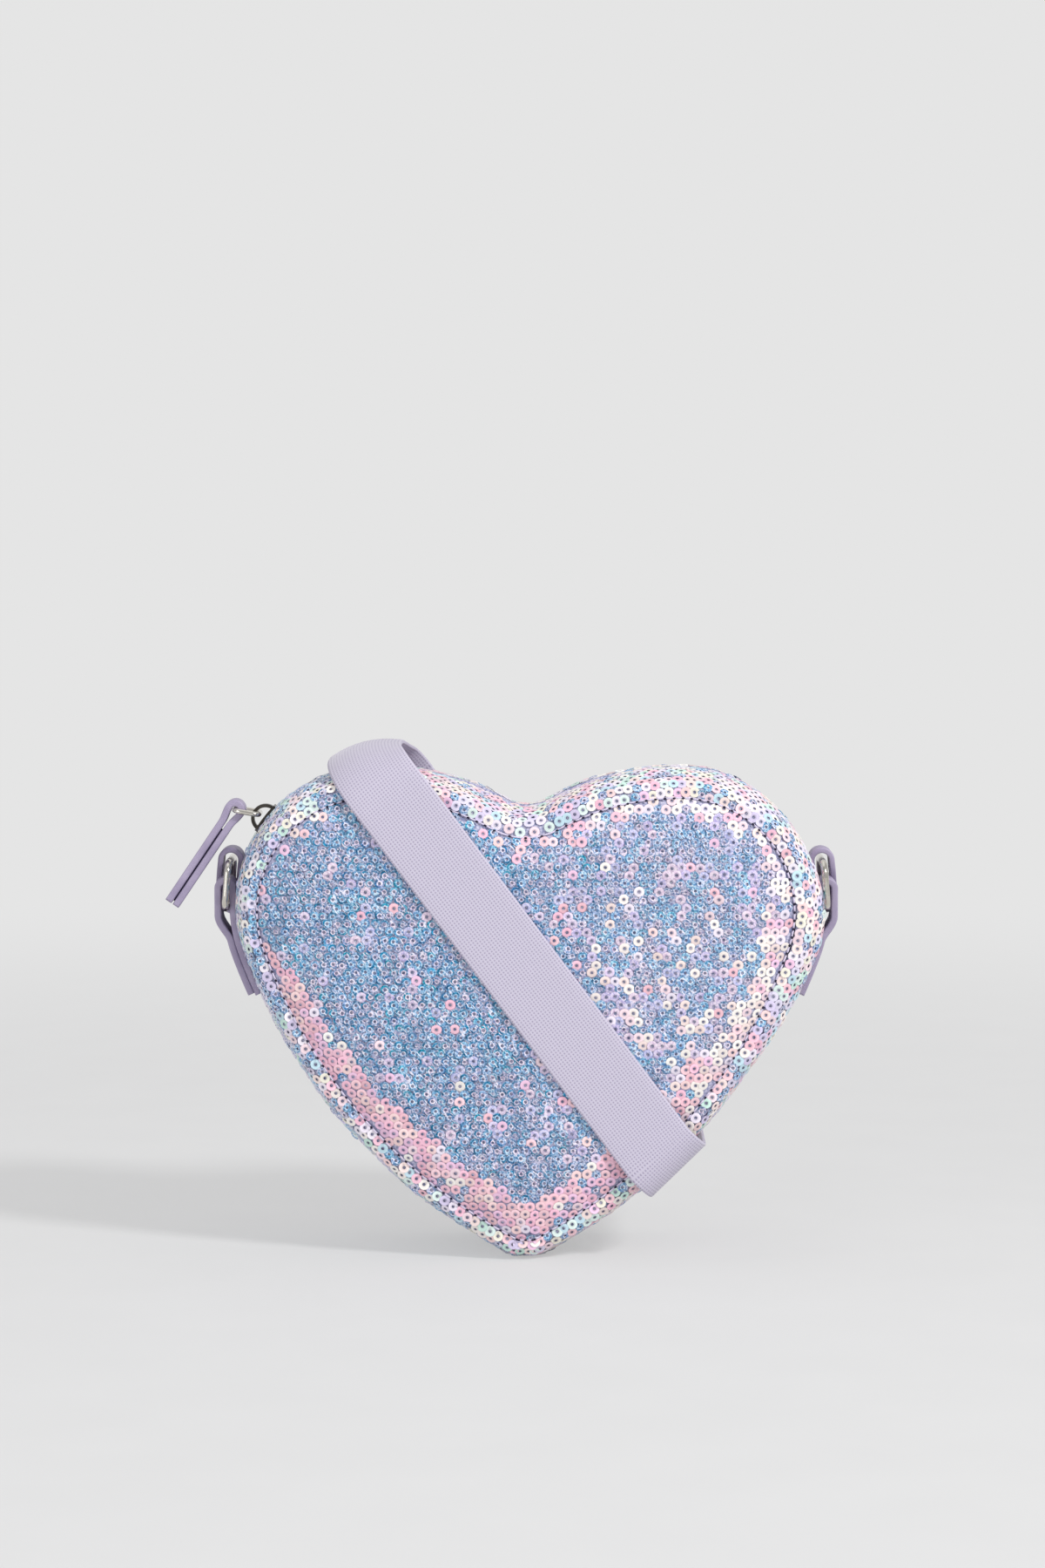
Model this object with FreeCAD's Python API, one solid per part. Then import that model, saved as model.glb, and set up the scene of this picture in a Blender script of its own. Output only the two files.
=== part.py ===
import FreeCAD, Part
import math
import os

# Heart shaped zip purse with sequin panels, a webbing strap and two strap rings.
# Millimetres. +X is the wearer's right in the photograph, -Y is the front, +Z is up.
# The origin is the middle of the flat patch at the tip on which the purse stands.

V = FreeCAD.Vector
Y_AXIS = V(0, 1, 0)

# Heart outline, measured where the side band is widest, in the plane y = 0
lobe_x = 49.5
lobe_z = 113.3
lobe_radius = 45.0
shoulder_radius = 88.0
notch_radius = 14.0
side_start_angle = 20.0
tip_radius = 10.0
tip_half_flat = 2.0
rest_depth = 1.2

# Side band (gusset) section
seam_inset = 8.0
seam_half_depth = 28.0
edge_radius = 5.0
skin = 1.2
sewn_gap = 0.12

# Padded panels
panel_rise = 3.8
panel_skin = 1.0
foam_thickness = 3.0
lining_thickness = 0.6
layer_gap = 0.12
dome_scale_shares = (1.0, 0.955, 0.87, 0.74)
dome_rise_shares = (0.0, 0.5, 0.84, 1.0)
dome_centre_share = 0.55
lining_half_width = 21.0

# Zip
zip_end_angle = 30.0
zip_slot_half = 5.3
tape_thickness = 0.6
tape_width = 10.0
chain_half_width = 2.9
chain_thickness = 2.6
tooth_pitch = 2.6
tooth_root_width = 1.2
tooth_neck_width = 0.8
tooth_head_width = 1.2
tooth_tip_width = 0.8
tooth_reach = 0.9
tooth_neck_y = 0.9
tooth_head_y = 0.35
tooth_side_gap = 0.05
stop_length = 3.0
stop_gap = 0.5

# Slider and its pull
slider_angle = 142.0
slider_length = 10.5
slider_nose_width = 9.0
slider_tail_width = 7.2
slider_plate = 1.2
slider_clearance = 0.3
divider_width = 1.3
divider_share = 0.36
bridge_height = 4.0
bridge_length = 9.4
bridge_band = 1.1
bridge_width = 2.6
loop_wire = 1.6
loop_length = 8.0
loop_width = 11.6
loop_rest_angle = 170.0
loop_corner = 2.0
puller_layer = 2.3
puller_gap = 0.5
puller_width = 8.4
puller_length = 37.0
puller_rest_angle = 236.0
puller_wire_gap = 0.3

# Strap rings and the tabs that hold them
ring_wire = 2.3
ring_stand = 3.7
ring_drop = 1.1
ring_lean = 1.2
ring_height = 15.0
ring_inner_width = 26.0
ring_setback = 5.0
ring_corner = 4.5
tab_layer = 2.2
tab_width = 13.0
tab_eye_gap = 0.2
tab_eye_rise = 6.6
tab_eye_depth = 7.8
tab_bend_drop = 3.9
tab_length = 28.2
tab_seat_gap = 0.15

# Webbing strap and its sewn ends
strap_width = 25.0
strap_thickness = 1.4
strap_lift = 0.5
strap_tilt = 52.8
strap_cross_x = -1.1
strap_cross_drop = 17.9
hump_height = 15.5
hump_gap = 0.9
hump_rest_angle = 108.0
hump_back_angle = -78.0
hump_fullness_share = 0.56
wrap_radius = 9.0
wrap_gap = 1.3
back_run_handle = 48.0
strap_end_inset = 10.5
strap_end_drop = 14.8
strap_end_angle = 43.0
end_layer = 1.8
end_bow = 0.9
end_close_share = 0.85
end_merge_share = 0.3
end_eye_radius = 2.4
end_width = 10.0
end_offset = 2.6
end_join_stand = 0.5
end_join_behind = 3.0
end_join_drop = 3.3
end_lap = 14.0
end_handle = 7.5
end_lap_thickness = 2.0
end_lap_gap = 0.2

# Shared values that follow from the sizes above
side_turn = math.radians(side_start_angle)
tip_centre = (tip_half_flat, tip_radius - rest_depth)
side_dir = (math.cos(side_turn), -math.sin(side_turn))
span_x = lobe_x - tip_centre[0]
span_z = lobe_z - tip_centre[1]
radius_drop = lobe_radius - tip_radius
side_push = (span_x ** 2 + span_z ** 2 - radius_drop ** 2) / (
    2 * (span_x * side_dir[0] + span_z * side_dir[1] + radius_drop))
side_radius = lobe_radius + side_push
side_centre = (lobe_x - side_push * side_dir[0], lobe_z - side_push * side_dir[1])
shoulder_z = lobe_z + lobe_radius - shoulder_radius
notch_z = shoulder_z + math.sqrt((shoulder_radius + notch_radius) ** 2 - lobe_x ** 2)
notch_turn = math.degrees(math.atan2(notch_z - shoulder_z, -lobe_x))
tip_turn = math.degrees(math.atan2(tip_centre[1] - side_centre[1], tip_centre[0] - side_centre[0]))
crown_y = seam_half_depth - edge_radius
crown_radius = (seam_inset ** 2 + crown_y ** 2 - edge_radius ** 2) / (2 * (seam_inset - edge_radius))
top_z = lobe_z + lobe_radius
panel_crown_y = seam_half_depth + panel_rise
strap_y = panel_crown_y + strap_lift + strap_thickness / 2
side_reach = lobe_x + lobe_radius
ring_bar_x = side_reach + ring_stand
ring_bar_z = lobe_z - ring_drop
ring_top_x = ring_bar_x - ring_lean
tab_eye_top = ring_bar_z + tab_eye_rise
tab_eye_bottom = ring_bar_z - tab_eye_depth
tab_bend_z = ring_bar_z - tab_bend_drop
tab_end_z = ring_bar_z - tab_length
strap_cross_z = lobe_z - strap_cross_drop
strap_end_x = side_reach - strap_end_inset
strap_end_z = lobe_z - strap_end_drop
end_join_x = side_reach + end_join_stand
end_join_y = seam_half_depth + end_join_behind
end_join_z = lobe_z - end_join_drop


def arc_point(centre, radius, angle):
    """Point on a circle in the plane y = 0, with the angle in degrees from +X towards +Z."""
    turn = math.radians(angle)
    return V(centre[0] + radius * math.cos(turn), 0, centre[1] + radius * math.sin(turn))


def right_arcs():
    """The right half of the outline from the notch to the tip: centre, radius, two angles, side."""
    return [
        ((0, notch_z), notch_radius, -90.0, notch_turn - 180.0, -1),
        ((lobe_x, shoulder_z), shoulder_radius, notch_turn, 90.0, 1),
        ((lobe_x, lobe_z), lobe_radius, 90.0, -side_start_angle, 1),
        (side_centre, side_radius, -side_start_angle, tip_turn, 1),
        (tip_centre, tip_radius, tip_turn, -90.0, 1),
    ]


def outline_wire(offset, y, scale=1.0):
    """The heart outline moved along its normal, then scaled about its middle, at depth y."""
    middle = V(0, 0, dome_centre_share * top_z)
    edges = []

    def place(point):
        return middle + (point - middle) * scale + V(0, y, 0)

    for mirror in (1, -1):
        for centre, radius, first, last, side in right_arcs():
            grown = radius + side * offset
            ends = [arc_point(centre, grown, a) for a in (first, (first + last) / 2, last)]
            points = [place(V(mirror * p.x, 0, p.z)) for p in ends]
            edges.append(Part.Arc(*points).toShape())
    foot = -rest_depth - offset
    flat = [place(V(x, 0, foot)) for x in (tip_half_flat, -tip_half_flat)]
    edges.append(Part.LineSegment(*flat).toShape())
    return Part.Wire(Part.__sortEdges__(edges))


def crown_offset(y, depth):
    """How far the band lies inside the outline at depth y, for a layer that deep in it."""
    radius = crown_radius - depth
    return -crown_radius + math.sqrt(radius ** 2 - y ** 2)


def band_section(outer_depth, inner_depth, y_start, y_stop):
    """Corner points and arc middles of a crowned layer between two depths, as (offset, y)."""
    y_mid = (y_start + y_stop) / 2
    outer = [(crown_offset(y, outer_depth), y) for y in (y_start, y_mid, y_stop)]
    inner = [(crown_offset(y, inner_depth), y) for y in (y_stop, y_mid, y_start)]
    return [("arc", outer), ("line", [outer[2], inner[0]]), ("arc", inner), ("line", [inner[2], outer[0]])]


def edge_arc(depth, side):
    """Three points of the rounded edge from the crown to the seam, for a layer that deep."""
    radius = edge_radius - depth
    join = math.atan2(crown_y, crown_radius - seam_inset)
    angles = [join, (join + math.pi / 2) / 2, math.pi / 2]
    return [(-seam_inset + radius * math.cos(a), side * (crown_y + radius * math.sin(a))) for a in angles]


def gusset_section(y_inner_front=None):
    """The side band: crowned in the middle, rounded to the seams, open towards the inside."""
    front = -1
    outer_edge = edge_arc(0, front)
    inner_edge = edge_arc(skin, front)
    if y_inner_front is None:
        back_outer = edge_arc(0, 1)
        back_inner = edge_arc(skin, 1)
        outer_mid = [outer_edge[0], (0, 0), back_outer[0]]
        inner_mid = [back_inner[0], (-skin, 0), inner_edge[0]]
        return [
            ("arc", outer_edge[::-1]), ("arc", outer_mid), ("arc", back_outer),
            ("line", [back_outer[2], back_inner[2]]), ("arc", back_inner[::-1]),
            ("arc", inner_mid), ("arc", inner_edge), ("line", [inner_edge[2], outer_edge[2]]),
        ]
    y_mid = (outer_edge[0][1] + y_inner_front) / 2
    outer_end = (crown_offset(y_inner_front, 0), y_inner_front)
    inner_end = (crown_offset(y_inner_front, skin), y_inner_front)
    outer_mid = [outer_edge[0], (crown_offset(y_mid, 0), y_mid), outer_end]
    inner_mid = [inner_end, (crown_offset(y_mid, skin), y_mid), inner_edge[0]]
    return [
        ("arc", outer_edge[::-1]), ("arc", outer_mid), ("line", [outer_end, inner_end]),
        ("arc", inner_mid), ("arc", inner_edge), ("line", [inner_edge[2], outer_edge[2]]),
    ]


def section_face(section, place):
    """A planar face from section edges, with each (offset, y) put in space by place."""
    edges = []
    for kind, points in section:
        spots = [place(*p) for p in points]
        if kind == "arc":
            edges.append(Part.Arc(*spots).toShape())
        else:
            edges.append(Part.LineSegment(*spots).toShape())
    return Part.Face(Part.Wire(edges))


def swept_arc(section, centre, radius, first, last, side):
    """A section turned about one arc of the outline, from its first to its last angle."""
    turn = math.radians(first)

    def place(offset, y):
        reach = radius + side * offset
        return V(centre[0] + reach * math.cos(turn), y, centre[1] + reach * math.sin(turn))

    face = section_face(section, place)
    return face.revolve(V(centre[0], 0, centre[1]), Y_AXIS, first - last)


def swept_tip(section):
    """The section drawn straight across the flat of the tip."""

    def place(offset, y):
        return V(tip_half_flat, y, -rest_depth - offset)

    return section_face(section, place).extrude(V(-2 * tip_half_flat, 0, 0))


def mirror_x(shape):
    return shape.mirror(V(0, 0, 0), V(1, 0, 0))


def mirror_y(shape):
    return shape.mirror(V(0, 0, 0), V(0, 1, 0))


def joined(pieces):
    return pieces[0].multiFuse(pieces[1:]).removeSplitter()


def zip_arcs(trim):
    """The right half of the zip's path, from the notch to its end on the lobe, less a trim in mm."""
    arcs = right_arcs()[:3]
    centre, radius, first, last, side = arcs[2]
    arcs[2] = (centre, radius, first, zip_end_angle + math.degrees(trim / radius), side)
    return arcs


def over_top(section, trim=0.0):
    """A section carried over both lobes and through the notch along the zip."""
    half = joined([swept_arc(section, *arc) for arc in zip_arcs(trim)])
    return joined([half, mirror_x(half)])


def round_below(section):
    """A section carried round the sides and the tip, from one zip end to the other."""
    arcs = right_arcs()[2:]
    centre, radius, first, last, side = arcs[0]
    start = zip_end_angle - math.degrees(sewn_gap / radius)
    arcs[0] = (centre, radius, start, last, side)
    half = joined([swept_arc(section, *arc) for arc in arcs])
    return joined([half, swept_tip(section), mirror_x(half)])


def above_rest(shape):
    """Cut the tip flat at the rest plane."""
    reach = 2 * top_z
    block = Part.makeBox(reach, reach, reach, V(-reach / 2, -reach / 2, 0))
    return shape.common(block)


def dome(start_depth):
    """Outlines of the padded front, from the seam out to the crown, moved in by start_depth."""
    inset = -seam_inset - sewn_gap
    wires = []
    for scale, rise in zip(dome_scale_shares, dome_rise_shares):
        y = -seam_half_depth - rise * panel_rise + start_depth
        wires.append(outline_wire(inset, y, scale))
    return wires


def dome_layer(start_depth, thickness):
    """A layer of the padded front with the same thickness all over, measured along Y."""
    rim = outline_wire(-seam_inset - sewn_gap, -seam_half_depth + start_depth + thickness)
    outside = Part.makeLoft([rim] + dome(start_depth), True, True)
    inside = Part.makeLoft(dome(start_depth + thickness), True, True)
    return outside.cut(inside)


def path_stations():
    """The right half of the zip's path as arcs with their lengths, from the notch to its end."""
    stations = []
    for centre, radius, first, last, side in zip_arcs(0.0):
        stations.append((centre, radius, first, last, side, math.radians(abs(first - last)) * radius))
    return stations


def zip_place(distance):
    """Point on the outline, outward normal and direction at a distance right of the notch."""
    mirror = 1 if distance >= 0 else -1
    left = abs(distance)
    for centre, radius, first, last, side, length in path_stations():
        if left <= length:
            angle = math.radians(first + (last - first) * left / length)
            normal = V(side * math.cos(angle), 0, side * math.sin(angle))
            point = V(centre[0], 0, centre[1]) + normal * (side * radius)
            break
        left -= length
    point.x *= mirror
    normal.x *= mirror
    return point, normal, V(normal.z, 0, -normal.x)


zip_half_length = sum(station[5] for station in path_stations())
tape_depth = skin + layer_gap
chain_mid = -tape_depth - tape_thickness / 2 + crown_offset(chain_half_width, 0)
chain_top = chain_mid + chain_thickness / 2
chain_foot = chain_mid - chain_thickness / 2


def part_way(distance):
    """How far each tooth row stands aside where the slider's divider parts the chain."""
    middle = -zip_half_length + math.radians(180 - zip_end_angle - slider_angle) * lobe_radius
    mouth = middle + slider_length / 2
    share = (mouth - distance) / (slider_length * (1 - divider_share))
    return (divider_width / 2 + tooth_reach + slider_clearance) * min(max(share, 0.0), 1.0)


def tooth(distance, row):
    """One tooth: root on the tape, waist, rounded head that reaches past the middle."""
    point, normal, along = zip_place(distance)
    aside = part_way(distance)
    half = [
        (tooth_root_width / 2, chain_half_width),
        (tooth_neck_width / 2, tooth_neck_y + aside),
        (tooth_head_width / 2, aside - tooth_head_y),
        (tooth_tip_width / 2, aside - tooth_reach),
    ]
    plan = half + [(-s, y) for s, y in reversed(half)]
    foot = point + normal * chain_foot
    corners = [foot + along * s + V(0, row * y, 0) for s, y in plan]
    wire = Part.makePolygon(corners + corners[:1])
    return Part.Face(wire).extrude(normal * chain_thickness)


def tooth_row(row):
    """Every tooth of one row; the rows interlock half a pitch apart."""
    stagger = tooth_pitch / 4
    reach = zip_half_length - sewn_gap - stop_length - 2 * stop_gap - stagger - tooth_root_width / 2
    count = int(reach / tooth_pitch)
    shift = stagger * row
    return Part.makeCompound([tooth(i * tooth_pitch + shift, row) for i in range(-count, count + 1)])


def zip_block(distance, y_start, y_stop):
    """A small block clamped round the tape edge, as tall as the chain."""
    point, normal, along = zip_place(distance)
    corner = point + normal * chain_foot - along * (stop_length / 2)
    base = [
        corner + V(0, y_start, 0), corner + V(0, y_stop, 0),
        corner + along * stop_length + V(0, y_stop, 0), corner + along * stop_length + V(0, y_start, 0),
    ]
    return Part.Face(Part.makePolygon(base + base[:1])).extrude(normal * chain_thickness)


def tape(row):
    """One zip tape, from the roots of its teeth out under the band."""
    inner = row * (chain_half_width + tooth_side_gap)
    outer = inner + row * tape_width
    y_start, y_stop = sorted((inner, outer))
    section = band_section(tape_depth, tape_depth + tape_thickness, y_start, y_stop)
    return over_top(section, sewn_gap)


def slider_frame():
    """Middle of the slider on the outline, its normal and its direction along the zip."""
    angle = math.radians(slider_angle)
    normal = V(math.cos(angle), 0, math.sin(angle))
    point = V(-lobe_x, 0, lobe_z) + normal * lobe_radius
    return point, normal, V(normal.z, 0, -normal.x)


def slider_ring(low, high, y_start, y_stop, start_share=-0.5, stop_share=0.5):
    """A stretch of the slider bent round the lobe, between two heights and two depths."""
    spread = math.degrees(slider_length / lobe_radius)
    section = [
        ("line", [(low, y_start), (high, y_start)]), ("line", [(high, y_start), (high, y_stop)]),
        ("line", [(high, y_stop), (low, y_stop)]), ("line", [(low, y_stop), (low, y_start)]),
    ]
    first = slider_angle - start_share * spread
    last = slider_angle - stop_share * spread
    return swept_arc(section, (-lobe_x, lobe_z), lobe_radius, first, last, 1)


def slider_plan():
    """Upright block with the slider's outline seen from above: wide shoulders, narrow tail."""
    point, normal, along = slider_frame()
    nose = slider_nose_width / 2
    tail = slider_tail_width / 2
    half = slider_length / 2
    waist = half * divider_share
    plan = [
        (-half, tail * divider_share), (-half + slider_plate, nose), (-waist, nose), (waist, tail),
        (half, tail),
    ]
    plan += [(s, -y) for s, y in reversed(plan)]
    foot = point - normal * (slider_length / 2)
    corners = [foot + along * s + V(0, y, 0) for s, y in plan]
    return Part.Face(Part.makePolygon(corners + corners[:1])).extrude(normal * slider_length)


def slider_body():
    """Two plates joined by the divider, with flanges beside the tape and a bridge on top."""
    top = chain_top + slider_clearance
    foot = chain_foot - slider_clearance
    half = slider_nose_width / 2
    tape_top = crown_offset(half, tape_depth)
    tape_foot = crown_offset(half, tape_depth + tape_thickness)
    pieces = [
        slider_ring(top, top + slider_plate, -half, half),
        slider_ring(foot - slider_plate, foot, -half, half),
        slider_ring(foot, top, -divider_width / 2, divider_width / 2, -0.5, divider_share - 0.5),
    ]
    inner = chain_half_width + tooth_side_gap + slider_clearance
    for side in (-1, 1):
        y_start, y_stop = sorted((side * inner, side * half))
        waist_share = divider_share / 2
        pieces.append(slider_ring(tape_top + slider_clearance, top, y_start, y_stop, waist_share, 0.5))
        pieces.append(slider_ring(foot, tape_foot - slider_clearance, y_start, y_stop, waist_share, 0.5))
    body = joined(pieces).common(slider_plan())
    return joined([body, slider_bridge(top + slider_plate)])


def slider_bridge(base):
    """The arched bail over the top plate that the pull loop threads through."""
    point, normal, along = slider_frame()
    seat = point + normal * (base - bridge_band)
    half = bridge_length / 2
    rise = bridge_height + bridge_band

    def arch(inset):
        ends = [seat - along * (half - inset), seat + along * (half - inset)]
        crown = seat + normal * (rise - inset)
        return ends, crown

    (o1, o2), o_top = arch(0.0)
    (i1, i2), i_top = arch(bridge_band)
    edges = [
        Part.Arc(o1, o_top, o2).toShape(), Part.LineSegment(o2, i2).toShape(),
        Part.Arc(i2, i_top, i1).toShape(), Part.LineSegment(i1, o1).toShape(),
    ]
    face = Part.Face(Part.Wire(edges))
    face.translate(V(0, -bridge_width / 2, 0))
    return face.extrude(V(0, bridge_width, 0))


def loop_axis():
    """Where the near bar of the pull loop turns, inside the slider's bridge."""
    point, normal, along = slider_frame()
    inside = chain_top + slider_clearance + slider_plate + bridge_height - bridge_band
    return point + normal * (inside - loop_wire / 2 - puller_wire_gap)


def heading(angle):
    """Unit direction in the plane y = 0."""
    turn = math.radians(angle)
    return V(math.cos(turn), 0, math.sin(turn))


def wire_ring(start, along, length, width, middle_y, corner, wire):
    """A closed ring of round wire: straight bars, joined by quarter turns at the corners."""
    half = width / 2
    turn_axis = Y_AXIS.cross(along)

    def at(reach, y):
        return start + along * reach + V(0, middle_y + y, 0)

    stops = [
        (at(0, half - corner), at(corner, half - corner), at(corner, half)),
        (at(length - corner, half), at(length - corner, half - corner), at(length, half - corner)),
        (at(length, corner - half), at(length - corner, corner - half), at(length - corner, -half)),
        (at(corner, -half), at(corner, corner - half), at(0, corner - half)),
    ]
    pieces = []
    before = stops[-1][2]
    for first, centre, last in stops:
        run = first - before
        pieces.append(Part.makeCylinder(wire / 2, run.Length, before, run))
        circle = Part.Face(Part.Wire(Part.makeCircle(wire / 2, first, run)))
        pieces.append(circle.revolve(centre, turn_axis, 90.0))
        before = last
    return joined(pieces)


def pull_loop():
    along = heading(loop_rest_angle)
    return wire_ring(loop_axis(), along, loop_length, loop_width, 0, loop_corner, loop_wire)


def puller_tab():
    """A strip folded round the far bar of the loop, its two layers lying together."""
    centre = loop_axis() + heading(loop_rest_angle) * loop_length
    along = heading(puller_rest_angle)
    across = V(-along.z, 0, along.x)
    eye = loop_wire / 2 + puller_wire_gap
    outer = eye + puller_layer
    slit = puller_gap / 2
    neck = outer + puller_layer

    def at(reach, aside):
        return centre + along * reach + across * aside

    edges = [
        Part.Arc(at(0, outer), at(-outer, 0), at(0, -outer)).toShape(),
        Part.LineSegment(at(0, -outer), at(neck, -slit - puller_layer)).toShape(),
        Part.LineSegment(at(neck, -slit - puller_layer), at(puller_length, -slit - puller_layer)).toShape(),
        Part.LineSegment(at(puller_length, -slit - puller_layer), at(puller_length, -slit)).toShape(),
        Part.LineSegment(at(puller_length, -slit), at(neck, -slit)).toShape(),
        Part.LineSegment(at(neck, -slit), at(0, -eye)).toShape(),
        Part.Arc(at(0, -eye), at(-eye, 0), at(0, eye)).toShape(),
        Part.LineSegment(at(0, eye), at(neck, slit)).toShape(),
        Part.LineSegment(at(neck, slit), at(puller_length, slit)).toShape(),
        Part.LineSegment(at(puller_length, slit), at(puller_length, slit + puller_layer)).toShape(),
        Part.LineSegment(at(puller_length, slit + puller_layer), at(neck, slit + puller_layer)).toShape(),
        Part.LineSegment(at(neck, slit + puller_layer), at(0, outer)).toShape(),
    ]
    face = Part.Face(Part.Wire(edges))
    face.translate(V(0, -puller_width / 2, 0))
    return face.extrude(V(0, puller_width, 0))


def d_ring_right():
    bar = V(ring_bar_x, 0, ring_bar_z)
    top = V(ring_top_x, 0, ring_bar_z + ring_height)
    along = (top - bar).normalize()
    width = ring_inner_width + ring_wire
    return wire_ring(bar, along, ring_height, width, ring_setback, ring_corner, ring_wire)


def side_x(offset, z):
    """How far out the offset outline lies at height z, on the lobe or the side below it."""
    split = lobe_z + (lobe_radius + offset) * side_dir[1]
    centre, radius = ((lobe_x, lobe_z), lobe_radius) if z >= split else (side_centre, side_radius)
    return centre[0] + math.sqrt((radius + offset) ** 2 - (z - centre[1]) ** 2)


def side_run(offset, z_start, z_stop):
    """Edges along the offset outline between two heights, across the lobe and the side."""
    split = lobe_z + (lobe_radius + offset) * side_dir[1]
    stops = [z_start, split, z_stop]
    edges = []
    for low, high in zip(stops[:-1], stops[1:]):
        middle = (low + high) / 2
        spots = [V(side_x(offset, z), 0, z) for z in (middle, high)]
        first = edges[-1].Vertexes[-1].Point if edges else V(side_x(offset, low), 0, low)
        edges.append(Part.Arc(first, *spots).toShape())
    return edges


def ring_tab_right():
    """A folded strip sewn to the side band, with an eye round the ring's lower bar."""
    eye = ring_wire / 2 + tab_eye_gap
    inner_x = ring_bar_x - eye
    outer_x = ring_bar_x + eye
    back_x = inner_x - tab_layer
    front_x = outer_x + tab_layer
    seat = tab_seat_gap
    stack = seat + 2 * tab_layer
    leave_z = lobe_z - tab_seat_gap
    join_z = tab_eye_bottom - tab_layer
    rise = side_run(seat, tab_end_z, leave_z)
    fall = side_run(stack, tab_end_z, join_z)
    seat_top = rise[-1].Vertexes[-1].Point
    stack_top = V(side_x(stack, join_z), 0, join_z)
    low_in = V(side_x(seat, tab_end_z), 0, tab_end_z)
    low_out = V(side_x(stack, tab_end_z), 0, tab_end_z)
    edges = rise + [
        Part.LineSegment(seat_top, V(back_x, 0, tab_eye_top)).toShape(),
        Part.Arc(V(back_x, 0, tab_eye_top), V(ring_bar_x, 0, tab_eye_top + eye + tab_layer),
                 V(front_x, 0, tab_eye_top)).toShape(),
        Part.LineSegment(V(front_x, 0, tab_eye_top), V(front_x, 0, tab_bend_z)).toShape(),
        Part.LineSegment(V(front_x, 0, tab_bend_z), stack_top).toShape(),
    ]
    edges += fall
    edges.append(Part.LineSegment(low_out, low_in).toShape())
    eye_low = V((side_x(stack, tab_eye_bottom) + side_x(seat, tab_eye_bottom)) / 2, 0, tab_eye_bottom)
    hole = [
        Part.LineSegment(eye_low, V(inner_x, 0, tab_bend_z)).toShape(),
        Part.LineSegment(V(inner_x, 0, tab_bend_z), V(inner_x, 0, tab_eye_top)).toShape(),
        Part.Arc(V(inner_x, 0, tab_eye_top), V(ring_bar_x, 0, tab_eye_top + eye),
                 V(outer_x, 0, tab_eye_top)).toShape(),
        Part.LineSegment(V(outer_x, 0, tab_eye_top), V(outer_x, 0, tab_bend_z)).toShape(),
        Part.LineSegment(V(outer_x, 0, tab_bend_z), eye_low).toShape(),
    ]
    outside = Part.Face(Part.Wire(Part.__sortEdges__(edges)))
    inside = Part.Face(Part.Wire(hole))
    face = outside.cut(inside)
    face.translate(V(0, -tab_width / 2, 0))
    return face.extrude(V(0, tab_width, 0))


def ribbon(stations):
    """A flat band as a ruled loft; each station is its middle, width vector and thickness."""
    wires = []
    count = len(stations)
    for i, (middle, width, thickness) in enumerate(stations):
        ahead = stations[min(i + 1, count - 1)][0]
        behind = stations[max(i - 1, 0)][0]
        along = (ahead - behind).normalize()
        across = width - along * width.dot(along)
        normal = along.cross(across).normalize() * (thickness / 2)
        half = across * (width.Length / across.Length / 2)
        corners = [middle + half + normal, middle - half + normal, middle - half - normal, middle + half - normal]
        wires.append(Part.makePolygon(corners + corners[:1]))
    return Part.makeLoft(wires, True, True)


def bezier(points, share):
    """Point of a cubic curve through four control points."""
    rest = 1 - share
    return (points[0] * rest ** 3 + points[1] * (3 * rest ** 2 * share)
            + points[2] * (3 * rest * share ** 2) + points[3] * share ** 3)


def flat_run(start, start_angle, stop, stop_angle, y, handle, count, thickness):
    """Stations of a band that lies flat on the back and curves from one heading to another."""
    first = V(start[0], y, start[1])
    last = V(stop[0], y, stop[1])
    points = [first, first + heading(start_angle) * handle, last - heading(stop_angle) * handle, last]
    stations = []
    for i in range(count + 1):
        share = i / count
        step = bezier(points, min(share + 1 / count, 1.0)) - bezier(points, max(share - 1 / count, 0.0))
        side = V(-step.z, 0, step.x).normalize() * strap_width
        stations.append((bezier(points, share), side, thickness))
    return stations


def hump_top():
    """Middle of the strap at the top of its hump, where its near edge rests on the left lobe."""
    tilt = (90.0 - strap_tilt + 90.0 + hump_back_angle) / 2
    rest = lobe_radius + hump_gap + strap_thickness / 2
    return V(-lobe_x, 0, lobe_z) + heading(hump_rest_angle) * rest + heading(tilt) * (strap_width / 2)


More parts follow.
